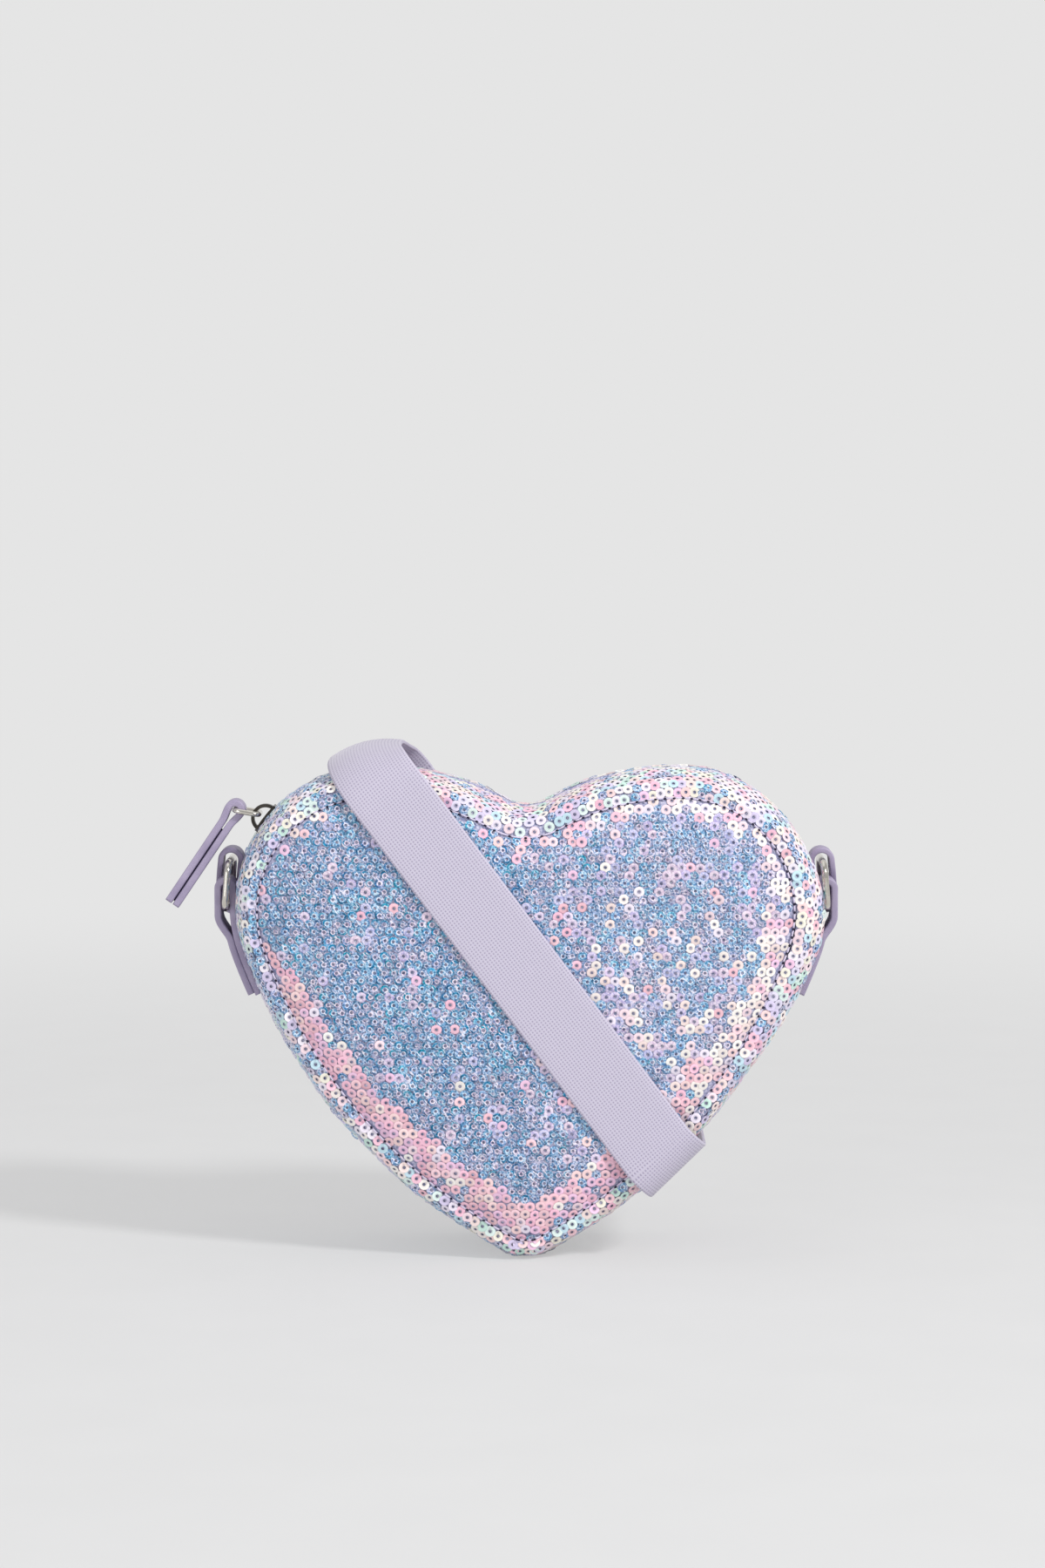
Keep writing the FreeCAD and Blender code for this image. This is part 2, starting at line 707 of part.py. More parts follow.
def strap_stations():
    """The whole webbing, from the right ring's end over the left lobe and the front to the left's."""
    up = heading(180.0 - strap_tilt)
    top = hump_top()
    hump_start = (top.z - hump_height - strap_cross_z) / up.z
    hump_front = V(strap_cross_x, -strap_y, strap_cross_z) + up * hump_start
    hump_rise = V(top.x - hump_front.x, 0, hump_height)
    run_count = 10
    stations = []
    for station in flat_run((strap_end_x, strap_end_z), strap_end_angle - 180.0, (hump_front.x, hump_front.z),
                            180.0 + hump_back_angle, strap_y, back_run_handle, run_count, strap_thickness):
        stations.append((station[0], station[1] * -1, station[2]))
    hump_count = 14
    for i in range(1, hump_count):
        turn = math.pi * i / hump_count
        depth = math.copysign(abs(math.cos(turn)) ** hump_fullness_share, math.cos(turn)) * strap_y
        middle = hump_front + V(0, depth + strap_y, 0) + hump_rise * math.sin(turn) ** hump_fullness_share
        ease = (1 + math.cos(turn)) / 2
        tilt = (90.0 - strap_tilt) * (1 - ease) + (90.0 + hump_back_angle) * ease
        stations.append((middle, heading(tilt) * strap_width, strap_thickness))
    edge_point, edge_normal = strap_edge()
    wrap_tilt = math.degrees(math.atan2(edge_normal.z, edge_normal.x))
    corner = edge_point - edge_normal * (wrap_radius - wrap_gap)
    front_end = V(corner.x, -strap_y, corner.z)
    front_count = 6
    for i in range(front_count + 1):
        share = i / front_count
        middle = hump_front + (front_end - hump_front) * share
        tilt = 90.0 - strap_tilt + (wrap_tilt + strap_tilt) * max(2 * share - 1, 0)
        stations.append((middle, heading(tilt) * strap_width, strap_thickness))
    across = heading(wrap_tilt + 90.0) * strap_width
    bend_count = 4
    for side in (-1, 1):
        for i in range(bend_count + 1):
            turn = math.pi / 2 * i / bend_count
            if side > 0:
                turn = math.pi / 2 - turn
            out = edge_normal * (wrap_radius * math.sin(turn))
            depth = side * (strap_y - wrap_radius + wrap_radius * math.cos(turn))
            if i or side > 0:
                stations.append((V(corner.x, depth, corner.z) + out, across, strap_thickness))
    back_start = (corner.x, corner.z)
    for station in flat_run(back_start, wrap_tilt + 180.0, (-strap_end_x, strap_end_z), 180.0 - strap_end_angle,
                            strap_y, back_run_handle, run_count, strap_thickness)[1:]:
        stations.append((station[0], station[1] * -1, station[2]))
    return stations


def strap_edge():
    """Where the front pass of the strap meets the lower right side, and the outline's normal there."""
    down = heading(-strap_tilt)
    from_centre = V(strap_cross_x - side_centre[0], 0, strap_cross_z - side_centre[1])
    along = from_centre.dot(down)
    reach = -along + math.sqrt(along ** 2 - from_centre.dot(from_centre) + side_radius ** 2)
    point = V(strap_cross_x, 0, strap_cross_z) + down * reach
    normal = (point - V(side_centre[0], 0, side_centre[1])).normalize()
    return point, normal


def strap_end_right():
    """The sewn end: an arch over the ring's top bar, two legs behind it and a tail to the webbing."""
    top = V(ring_top_x, 0, ring_bar_z + ring_height)
    outer = end_eye_radius + end_layer
    y_start = end_offset
    y_stop = end_offset + end_width

    def at(x, y, z):
        return V(x, y, z)

    arch = Part.Face(Part.Wire([
        Part.Arc(at(top.x - outer, y_start, top.z), at(top.x, y_start, top.z + outer),
                 at(top.x + outer, y_start, top.z)).toShape(),
        Part.LineSegment(at(top.x + outer, y_start, top.z), at(top.x + end_eye_radius, y_start, top.z)).toShape(),
        Part.Arc(at(top.x + end_eye_radius, y_start, top.z), at(top.x, y_start, top.z + end_eye_radius),
                 at(top.x - end_eye_radius, y_start, top.z)).toShape(),
        Part.LineSegment(at(top.x - end_eye_radius, y_start, top.z), at(top.x - outer, y_start, top.z)).toShape(),
    ])).extrude(V(0, end_width, 0))
    pieces = [arch]
    for side in (-1, 1):
        near = top.x + side * end_eye_radius
        wires = []
        for share in (0.0, end_close_share / 2, end_close_share, 1.0):
            shift = (end_join_y - end_width / 2 - y_start) * share
            z = top.z + (end_join_z - top.z) * share
            close = max(share - end_close_share, 0.0) / (1 - end_close_share)
            bow = end_bow * min(share / end_close_share * 2, 1.0)
            shut = end_join_x - side * end_layer * end_merge_share
            a = near + bow + (shut - near - bow) * close
            b = a + side * end_layer
            corners = [at(a, y_start + shift, z), at(b, y_start + shift, z),
                       at(b, y_stop + shift, z), at(a, y_stop + shift, z)]
            wires.append(Part.makePolygon(corners + corners[:1]))
        pieces.append(Part.makeLoft(wires, True, True))
    return joined(pieces + [end_tail()])


def end_tail():
    """The tail of the sewn end: round the back edge of the bag, then lapped over the webbing."""
    lap_y = strap_y + strap_thickness / 2 + end_lap_gap + end_lap_thickness / 2
    inward = heading(180.0 + strap_end_angle)
    lap_start = V(strap_end_x, lap_y, strap_end_z)
    lap_stop = lap_start + inward * end_lap
    across = heading(90.0 + strap_end_angle)
    stack = 2 * end_layer * (1 - end_merge_share)
    join = V(end_join_x, end_join_y - end_layer, end_join_z + end_layer)
    points = [join, join + V(0, end_handle, -end_handle), lap_start - inward * end_handle, lap_start]
    stations = []
    count = 6
    for i in range(count + 1):
        share = i / count
        side = V(0, 1, 0) * (1 - share) + across * share
        side = side.normalize() * (end_width + (strap_width - end_width) * share)
        thickness = stack + (end_lap_thickness - stack) * share
        stations.append((bezier(points, share), side, thickness))
    stations.append((lap_stop, across * strap_width, end_lap_thickness))
    return ribbon(stations)


def parts():
    """Every piece by its name."""
    front_panel = dome_layer(0, panel_skin)
    foam_depth = panel_skin + layer_gap
    front_foam = dome_layer(foam_depth, foam_thickness)
    lining_depth = foam_depth + foam_thickness + layer_gap
    front_lining = dome_layer(lining_depth, lining_thickness)
    zip_front = over_top(gusset_section(-zip_slot_half))
    lining_top = skin + layer_gap
    lining = band_section(lining_top, lining_top + lining_thickness, -lining_half_width, lining_half_width)
    stop_place = zip_half_length - sewn_gap - stop_length / 2 - stop_gap
    stop_inner = tooth_reach + tooth_side_gap
    tab_right = ring_tab_right()
    ring_right = d_ring_right()
    end_right = strap_end_right()
    return {
        "front_panel": front_panel,
        "back_panel": mirror_y(front_panel),
        "front_foam": front_foam,
        "back_foam": mirror_y(front_foam),
        "front_lining": front_lining,
        "back_lining": mirror_y(front_lining),
        "lower_gusset": above_rest(round_below(gusset_section())),
        "gusset_lining": round_below(lining),
        "zip_gusset_front": zip_front,
        "zip_gusset_back": mirror_y(zip_front),
        "zip_tape_front": tape(-1),
        "zip_tape_back": tape(1),
        "zip_teeth_front": tooth_row(-1),
        "zip_teeth_back": tooth_row(1),
        "zip_top_stops": Part.makeCompound([
            zip_block(-stop_place, stop_inner, chain_half_width),
            zip_block(-stop_place, -chain_half_width, -stop_inner)]),
        "zip_bottom_stop": zip_block(stop_place, -chain_half_width, chain_half_width),
        "slider_body": slider_body(),
        "pull_loop": pull_loop(),
        "puller_tab": puller_tab(),
        "ring_tab_left": mirror_x(tab_right),
        "ring_tab_right": tab_right,
        "d_ring_left": mirror_x(ring_right),
        "d_ring_right": ring_right,
        "strap_webbing": ribbon(strap_stations()),
        "strap_end_left": mirror_x(end_right),
        "strap_end_right": end_right,
    }


os.makedirs("parts", exist_ok=True)
for name, shape in parts().items():
    shape.exportStep(os.path.join("parts", name + ".step"))
    box = shape.BoundBox
    print(name, len(shape.Solids), round(shape.Volume), shape.isValid(),
          [round(v, 1) for v in (box.XMin, box.YMin, box.ZMin, box.XMax, box.YMax, box.ZMax)])
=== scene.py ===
import bpy
import math
import numpy as np
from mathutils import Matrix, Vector


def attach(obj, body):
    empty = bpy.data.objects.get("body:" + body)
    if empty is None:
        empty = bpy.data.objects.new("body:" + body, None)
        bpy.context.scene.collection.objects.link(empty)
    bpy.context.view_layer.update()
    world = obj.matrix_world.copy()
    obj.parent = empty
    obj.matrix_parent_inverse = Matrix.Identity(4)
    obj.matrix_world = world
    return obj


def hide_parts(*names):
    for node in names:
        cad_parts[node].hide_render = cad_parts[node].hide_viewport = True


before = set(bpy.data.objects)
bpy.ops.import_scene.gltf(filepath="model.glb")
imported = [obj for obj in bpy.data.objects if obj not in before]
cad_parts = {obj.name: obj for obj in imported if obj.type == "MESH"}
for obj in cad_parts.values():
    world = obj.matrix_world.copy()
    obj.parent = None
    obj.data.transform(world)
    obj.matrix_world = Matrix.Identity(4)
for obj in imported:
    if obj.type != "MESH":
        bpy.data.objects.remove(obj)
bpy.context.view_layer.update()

# Lengths are millimetres in this script, and meshes are written in metres
MM = 0.001
SEED = 11

# Heart outline at its widest, as tangent arcs
LOBE_X, LOBE_Z, LOBE_R = 49.5, 113.3, 45.0
SHOULDER_R, NOTCH_R = 88.0, 14.0
SIDE_ANGLE = math.radians(20.0)
TIP_R, TIP_FLAT, REST_DEPTH = 10.0, 2.0, 1.2
TOP_Z = LOBE_Z + LOBE_R

# Side band and padded panels
SEAM_INSET, SEAM_Y, EDGE_R = 8.0, 28.0, 5.0
CROWN_Y = SEAM_Y - EDGE_R
CROWN_R = (SEAM_INSET ** 2 + CROWN_Y ** 2 - EDGE_R ** 2) / (2 * (SEAM_INSET - EDGE_R))
PANEL_RISE, PANEL_ROUND, PANEL_POWER, PANEL_RIPPLE = 3.6, 20.0, 2.4, 0.16
SEAM_DIP, SEAM_DIP_WIDTH = 0.6, 1.8
# Half the slot between the zip bands, the angle on the lobe where the zip ends, and the depth of a turned hem
ZIP_SLOT, ZIP_END, HEM = 5.3, math.radians(30.0), 1.3
# Zip tape: its two edges from the middle, its depth under the crown, and how far the closed ends reach
TAPE_INNER, TAPE_OUTER, TAPE_SINK, TAPE_CLOSED = 2.95, 12.0, 0.9, 5.0
# Looseness of the band, and its fuller place low on the right lobe: height, spread and depth of its middle
BAND_LOOSE = 0.35
BULGE, BULGE_Z, BULGE_HEIGHT, BULGE_Y, BULGE_DEPTH = 3.2, 104.0, 34.0, -17.5, 7.5
# The fabric lies this far above the floor, so that sequins fit below it
REST_LIFT = 0.5

# Sequins and stitches
SEQUIN_R, SEQUIN_HOLE, SEQUIN_PITCH = 1.64, 0.5, 3.02
SEQUIN_LIFT, SEQUIN_LIFT_SPREAD = 0.45, 0.06
# Rows of staggered sequins are this share of the pitch apart
ROW_SHARE = 0.866
STITCH_PITCH, STITCH_SIZE, THREAD_R = 3.3, 0.52, 0.3

# Strap: it lies clear of the panels' crown, and crosses the front at a tilt through one point
STRAP_W, STRAP_T = 25.0, 1.4
PANEL_TOP, STRAP_GAP = 3.8, 0.5
STRAP_Y = SEAM_Y + PANEL_TOP + STRAP_GAP + STRAP_T / 2
STRAP_TILT = 52.8
STRAP_CROSS = (-1.1, 95.4)
# The strap's hump over the left lobe: height, where it rests, heading behind, fullness, bow and levelling
HUMP_HEIGHT, HUMP_REST, HUMP_BACK, HUMP_FULL = 15.5, 108.0, -78.0, 0.66
HUMP_CROWN, HUMP_LEVEL = 2.6, 0.4
# Where each strap end is sewn to the webbing on the back, and the webbing's heading there
LAP_X, LAP_Z, LAP_ANGLE = 84.0, 98.5, 223.0

# Zip chain, slider and pull loop, as in the CAD nodes
CHAIN_SINK, CHAIN_HALF_WIDTH, CHAIN_T = 1.62, 2.9, 2.6
SLIDER_ANGLE, SLIDER_PLATE, SLIDER_GAP = 142.0, 1.2, 0.3
BRIDGE_HEIGHT, BRIDGE_BAND = 4.0, 1.1
LOOP_WIRE, LOOP_LENGTH, LOOP_ANGLE = 1.6, 8.0, 170.0

# Camera
FOCAL, SENSOR, DISTANCE = 100.0, 36.0, 1420.0
CAMERA_X, CAMERA_Z, AIM_X, AIM_Z = 8.0, 262.0, -1.2, 152.5


def linear(hex_colour, alpha=1.0):
    """An sRGB hex colour as linear RGBA."""
    value = int(hex_colour, 16)
    rgb = [((value >> shift) & 255) / 255 for shift in (16, 8, 0)]
    flat = [c / 12.92 if c <= 0.04045 else ((c + 0.055) / 1.055) ** 2.4 for c in rgb]
    return (*flat, alpha)


# Outline of the heart


def side_circle():
    """Centre and radius of the long arc that runs from each lobe to the tip."""
    u = np.array([math.cos(SIDE_ANGLE), -math.sin(SIDE_ANGLE)])
    lobe = np.array([LOBE_X, LOBE_Z])
    tip = np.array([TIP_FLAT, TIP_R - REST_DEPTH])
    span = lobe - tip
    drop = LOBE_R - TIP_R
    push = (span @ span - drop ** 2) / (2 * (span @ u + drop))
    return lobe - push * u, LOBE_R + push


SIDE_C, SIDE_R = side_circle()


def outline_pieces():
    """Pieces from the notch clockwise to the tip and back.

    An arc is its centre, radius, two angles and side, and the flat patch at the tip is its name and length.
    """
    shoulder = (LOBE_X, LOBE_Z + LOBE_R - SHOULDER_R)
    notch = (0.0, shoulder[1] + math.sqrt((SHOULDER_R + NOTCH_R) ** 2 - LOBE_X ** 2))
    turn = math.atan2(notch[1] - shoulder[1], -LOBE_X)
    tip = (TIP_FLAT, TIP_R - REST_DEPTH)
    low = math.atan2(tip[1] - SIDE_C[1], tip[0] - SIDE_C[0])
    right = [
        (notch, NOTCH_R, -math.pi / 2, turn - math.pi, -1),
        (shoulder, SHOULDER_R, turn, math.pi / 2, 1),
        ((LOBE_X, LOBE_Z), LOBE_R, math.pi / 2, -SIDE_ANGLE, 1),
        (tuple(SIDE_C), SIDE_R, -SIDE_ANGLE, low, 1),
        (tip, TIP_R, low, -math.pi / 2, 1),
    ]
    left = [((-c[0], c[1]), r, math.pi - b, math.pi - a, s) for c, r, a, b, s in reversed(right)]
    return right + [("flat", 2 * TIP_FLAT)] + left


OUTLINE = outline_pieces()
LENGTHS = [p[1] if p[0] == "flat" else abs(p[2] - p[3]) * p[1] for p in OUTLINE]
LOOP = sum(LENGTHS)
# From the notch to either end of the zip: the notch's arc, the shoulder's and part of the lobe's
ZIP_REACH = sum(LENGTHS[:2]) + (math.pi / 2 - ZIP_END) * LOBE_R


def heart(distance):
    """Points on the outline and its outward normals, at distances clockwise from the notch."""
    ends = np.cumsum(LENGTHS)
    distance = np.mod(np.asarray(distance, float), ends[-1])
    which = np.minimum(np.searchsorted(ends, distance, side="right"), len(OUTLINE) - 1)
    point = np.zeros(distance.shape + (2,))
    normal = np.zeros(distance.shape + (2,))
    for i, piece in enumerate(OUTLINE):
        here = which == i
        gone = distance[here] - (ends[i] - LENGTHS[i])
        if piece[0] == "flat":
            point[here] = np.stack([TIP_FLAT - gone, np.full_like(gone, -REST_DEPTH)], -1)
            normal[here] = (0.0, -1.0)
            continue
        centre, radius, first, last, side = piece
        angle = first + (last - first) * gone / LENGTHS[i]
        ray = np.stack([np.cos(angle), np.sin(angle)], -1)
        point[here] = np.array(centre) + radius * ray
        normal[here] = side * ray
    return point, normal


DENSE = heart(np.linspace(0, LOOP, 1600, endpoint=False))


def seam_distance(x, z):
    """How far each point lies inside the seam line, in millimetres (negative outside)."""
    seam = DENSE[0] - SEAM_INSET * DENSE[1]
    flat = np.stack([x.ravel(), z.ravel()], -1)
    result = np.empty(len(flat))
    batch = 4000
    for start in range(0, len(flat), batch):
        part = flat[start:start + batch]
        gap = part[:, None, :] - seam[None, :, :]
        near = np.argmin((gap ** 2).sum(-1), 1)
        rows = np.arange(len(part))
        away = gap[rows, near]
        length = np.sqrt((away ** 2).sum(-1))
        inside = (away * DENSE[1][near]).sum(-1) < 0
        result[start:start + batch] = np.where(inside, length, -length)
    return result.reshape(x.shape)


def panel_depth(x, z):
    """Depth of the padded panel: it rises from a sewn-in dip at the seam to a nearly flat crown."""
    inside = np.maximum(seam_distance(x, z), 0)
    share = np.clip(inside / PANEL_ROUND, 0, 1)
    rise = PANEL_RISE * (1 - (1 - share) ** PANEL_POWER)
    dip = SEAM_DIP * np.exp(-(inside / SEAM_DIP_WIDTH) ** 2)
    wave = np.sin(x * 0.21 + 0.7 * np.sin(z * 0.13)) * np.sin(z * 0.17 + 0.4)
    ripple = PANEL_RIPPLE * wave * share
    return SEAM_Y + rise - dip + ripple


def band_profile(share):
    """Section of the side band from the front seam (0) to the back seam (1): offset, depth and whole length.

    A small arc leaves each seam and meets the wide crown arc at one angle, and the seams draw the fabric in.
    """
    join = math.atan2(CROWN_Y, CROWN_R - SEAM_INSET)
    edge_length = EDGE_R * (math.pi / 2 - join)
    total = 2 * edge_length + 2 * CROWN_R * join
    run = np.asarray(share, float) * total
    back = run > total / 2
    run = np.where(back, total - run, run)
    on_edge = run < edge_length
    edge_turn = math.pi / 2 - run / EDGE_R
    crown_turn = join - (run - edge_length) / CROWN_R
    edge_offset = -SEAM_INSET + EDGE_R * np.cos(edge_turn)
    edge_depth = -CROWN_Y - EDGE_R * np.sin(edge_turn)
    offset = np.where(on_edge, edge_offset, CROWN_R * (np.cos(crown_turn) - 1))
    depth = np.where(on_edge, edge_depth, -CROWN_R * np.sin(crown_turn))
    dip = SEAM_DIP * np.exp(-(run / SEAM_DIP_WIDTH) ** 2)
    turn = np.where(on_edge, edge_turn, crown_turn)
    offset = offset - dip * np.cos(turn)
    depth = depth + dip * np.sin(turn)
    return offset, np.where(back, -depth, depth), total


def band_point(distance, share):
    """Points of the side band, from the distance round the outline and the share across.

    The section is set out along the outline's normal, with a slow wave for loose fabric and one fuller place.
    """
    point, normal = heart(distance)
    offset, depth, _ = band_profile(share)
    loose = BAND_LOOSE * np.sin(distance * 0.11) * np.sin(share * 9.0 + distance * 0.05)
    spread = ((point[..., 1] - BULGE_Z) / BULGE_HEIGHT) ** 2 + ((depth - BULGE_Y) / BULGE_DEPTH) ** 2
    full = (point[..., 0] > 0) * np.exp(-spread)
    flat = point + (offset + loose + BULGE * full)[..., None] * normal
    height = np.maximum(flat[..., 1], REST_LIFT)
    return np.stack([flat[..., 0], depth, height], -1)


# Mesh helpers


def add_object(name, points, face_sets, material):
    """A smooth mesh object at the origin from points in millimetres and arrays of quads or triangles."""
    mesh = bpy.data.meshes.new(name)
    points = np.asarray(points, np.float32).reshape(-1, 3) * MM
    corners = np.concatenate([np.ravel(faces) for faces in face_sets]).astype(np.int32)
    sides = np.concatenate([np.full(len(faces), faces.shape[1]) for faces in face_sets])
    mesh.vertices.add(len(points))
    mesh.vertices.foreach_set("co", points.ravel())
    mesh.loops.add(len(corners))
    mesh.loops.foreach_set("vertex_index", corners)
    mesh.polygons.add(len(sides))
    mesh.polygons.foreach_set("loop_start", (np.cumsum(sides) - sides).astype(np.int32))
    mesh.polygons.foreach_set("use_smooth", np.full(len(sides), True))
    mesh.update(calc_edges=True)
    mesh.validate()
    mesh.materials.append(material)
    obj = bpy.data.objects.new(name, mesh)
    bpy.context.scene.collection.objects.link(obj)
    return obj


def point_values(obj, name, values, kind="FLOAT"):
    """Store a value for each vertex: a number, or a colour as RGBA."""
    layer = obj.data.attributes.new(name, kind, "POINT")
    field = "color" if kind == "FLOAT_COLOR" else "value"
    layer.data.foreach_set(field, np.asarray(values, np.float32).ravel())


def grid_faces(rows, columns, wrap_rows=False, wrap_columns=False):
    """Quads of a grid of rows by columns, closed round either way."""
    i = np.arange(rows if wrap_rows else rows - 1)
    j = np.arange(columns if wrap_columns else columns - 1)
    i, j = np.meshgrid(i, j, indexing="ij")
    a = i * columns + j
    b = i * columns + (j + 1) % columns
    c = (i + 1) % rows * columns + (j + 1) % columns
    d = (i + 1) % rows * columns + j
    return np.stack([a, b, c, d], -1).reshape(-1, 4)


def surface_uv(obj, u, v):
    """Lay out UVs in millimetres from one pair of values for each vertex."""
    layer = obj.data.uv_layers.new(name="mm")
    index = np.empty(len(obj.data.loops), np.int32)
    obj.data.loops.foreach_get("vertex_index", index)
    pair = np.stack([np.ravel(u)[index], np.ravel(v)[index]], -1).astype(np.float32)
    layer.data.foreach_set("uv", pair.ravel())


def unit(vectors):
    """Vectors of length 1 along the given ones."""
    return vectors / np.maximum(np.linalg.norm(vectors, axis=-1, keepdims=True), 1e-9)


# Materials

# Sockets of the colour mix node: its factor, its two colours and its result
MIX_SHARE, MIX_A, MIX_B, MIXED = 0, 6, 7, 2


def connect(tree, node, inputs):
    """Set a node's inputs: a socket is linked, and anything else is a constant."""
    for key, value in inputs.items():
        if isinstance(value, bpy.types.NodeSocket):
            tree.links.new(value, node.inputs[key])
        else:
            node.inputs[key].default_value = value


def add_node(tree, kind, inputs, stops=(), **settings):
    """One shader node with its settings, its inputs and a colour ramp's (place, hex) stops."""
    node = tree.nodes.new(kind)
    for key, value in settings.items():
        setattr(node, key, value)
    for extra in stops[2:]:
        node.color_ramp.elements.new(extra[0])
    for index, (place, colour) in enumerate(stops):
        node.color_ramp.elements[index].position = place
        node.color_ramp.elements[index].color = linear(colour)
    connect(tree, node, inputs)
    return node


def new_material(name):
    """A principled material with its tree and its shader."""
    material = bpy.data.materials.new(name)
    material.use_nodes = True
    return material, material.node_tree, material.node_tree.nodes["Principled BSDF"]


def sequin_material():
    """Clear iridescent film. Where it catches the light it is painted flat pink or pale, as painted highlight;
    elsewhere it is a blue ring about a pale middle, deeper to one side as painted shade, with dark specks of knit,
    white specks of painted glint and white slanting threads showing through."""
    material, tree, shader = new_material("iridescent sequin film")
    rim, core, radial, quiet, painted_shade_crescent = [
        add_node(tree, "ShaderNodeAttribute", {}, attribute_name=name)
        for name in ("rim_colour", "core_colour", "radial", "quiet", "painted_shade_crescent")]
    inner = add_node(tree, "ShaderNodeMapRange", {
        "Value": radial.outputs["Fac"], "From Min": 0.45, "From Max": 0.6}, interpolation_type="SMOOTHSTEP")
    outer = add_node(tree, "ShaderNodeMapRange", {
        "Value": radial.outputs["Fac"], "From Min": 0.88, "From Max": 1.0, "To Min": 1.0, "To Max": 0.35},
        interpolation_type="SMOOTHSTEP")
    whole = add_node(tree, "ShaderNodeMath", {
        0: inner.outputs["Result"], 1: outer.outputs["Result"]}, operation="MULTIPLY")
    ring = add_node(tree, "ShaderNodeMath", {
        0: whole.outputs[0], 1: painted_shade_crescent.outputs["Fac"]}, operation="MULTIPLY")
    film = add_node(tree, "ShaderNodeMix", {
        MIX_SHARE: ring.outputs[0], MIX_A: core.outputs["Color"], MIX_B: rim.outputs["Color"]}, data_type="RGBA")
    place = add_node(tree, "ShaderNodeTexCoord", {})
    grain = add_node(tree, "ShaderNodeTexNoise", {
        "Vector": place.outputs["Object"], "Scale": 1 / (0.6 * MM), "Detail": 1.0})
    # Dark specks of knit through the film, and white specks that are painted glints
    knit_and_glint_specks = add_node(tree, "ShaderNodeValToRGB", {"Fac": grain.outputs["Fac"]}, stops=[
        (0.36, "0E5A72"), (0.45, "689CAE"), (0.5, "B2B6C0"), (0.56, "D2CEDA"), (0.64, "FCF6FC")])
    amount = add_node(tree, "ShaderNodeMath", {0: quiet.outputs["Fac"], 1: 0.7}, operation="MULTIPLY")
    spotted = add_node(tree, "ShaderNodeMix", {
        MIX_SHARE: amount.outputs[0], MIX_A: film.outputs[MIXED], MIX_B: knit_and_glint_specks.outputs["Color"]},
        data_type="RGBA", blend_type="OVERLAY")
    slant = add_node(tree, "ShaderNodeMapping", {
        "Vector": place.outputs["Object"], "Rotation": (0, math.radians(-38), 0), "Scale": (1.0, 1.0, 5.0)},
        vector_type="TEXTURE")
    streak = add_node(tree, "ShaderNodeTexNoise", {
        "Vector": slant.outputs["Vector"], "Scale": 1 / (0.5 * MM), "Detail": 0.5})
    lines = add_node(tree, "ShaderNodeMapRange", {
        "Value": streak.outputs["Fac"], "From Min": 0.64, "From Max": 0.7, "To Max": 0.8})
    shown = add_node(tree, "ShaderNodeMath", {
        0: lines.outputs["Result"], 1: quiet.outputs["Fac"]}, operation="MULTIPLY")
    threads = add_node(tree, "ShaderNodeMix", {
        MIX_SHARE: shown.outputs[0], MIX_A: spotted.outputs[MIXED], MIX_B: linear("F4EFFA")}, data_type="RGBA")
    connect(tree, shader, {
        "Base Color": threads.outputs[MIXED], "Roughness": 0.3, "Specular IOR Level": 0.2, "Coat Weight": 0.1,
        "Coat Roughness": 0.12})
    return material


def woven_material(name, cell, depth, rough, stops):
    """Knit or weave: pale yarns about darker gaps, in cells that many millimetres across, with their relief."""
    material, tree, shader = new_material(name)
    place = add_node(tree, "ShaderNodeTexCoord", {})
    yarns = add_node(tree, "ShaderNodeTexVoronoi", {"Vector": place.outputs["Object"], "Scale": 1 / (cell * MM)})
    colour = add_node(tree, "ShaderNodeValToRGB", {"Fac": yarns.outputs["Distance"]}, stops=stops)
    bump = add_node(tree, "ShaderNodeBump", {
        "Height": yarns.outputs["Distance"], "Strength": 0.4, "Distance": depth * MM})
    connect(tree, shader, {
        "Base Color": colour.outputs["Color"], "Normal": bump.outputs["Normal"], "Roughness": rough})
    return material


def webbing_material():
    """Woven polyester webbing: satin lilac with a grid of small dark pits between the yarns, from UVs in mm."""
    material, tree, shader = new_material("lilac ribbed webbing")
    place = add_node(tree, "ShaderNodeUVMap", {}, uv_map="mm")
    split = add_node(tree, "ShaderNodeSeparateXYZ", {"Vector": place.outputs["UV"]})
    waves = []
    for axis, pitch in (("Y", 1.03), ("X", 0.96)):
        turn = add_node(tree, "ShaderNodeMath", {
            0: split.outputs[axis], 1: 2 * math.pi / pitch}, operation="MULTIPLY")
        wave = add_node(tree, "ShaderNodeMath", {0: turn.outputs[0]}, operation="SINE")
        lifted = add_node(tree, "ShaderNodeMapRange", {"Value": wave.outputs[0], "From Min": -1.0})
        waves.append(lifted.outputs["Result"])
    dots = add_node(tree, "ShaderNodeMath", {0: waves[0], 1: waves[1]}, operation="MULTIPLY")
    colour = add_node(tree, "ShaderNodeValToRGB", {"Fac": dots.outputs[0]}, stops=[
        (0.0, "C7C1D2"), (0.45, "BBB4C8"), (1.0, "958CA6")])
    bump = add_node(tree, "ShaderNodeBump", {"Height": dots.outputs[0], "Strength": 0.5, "Distance": -0.15 * MM})
    connect(tree, shader, {
        "Base Color": colour.outputs["Color"], "Normal": bump.outputs["Normal"], "Roughness": 0.6,
        "Sheen Weight": 0.25})
    return material


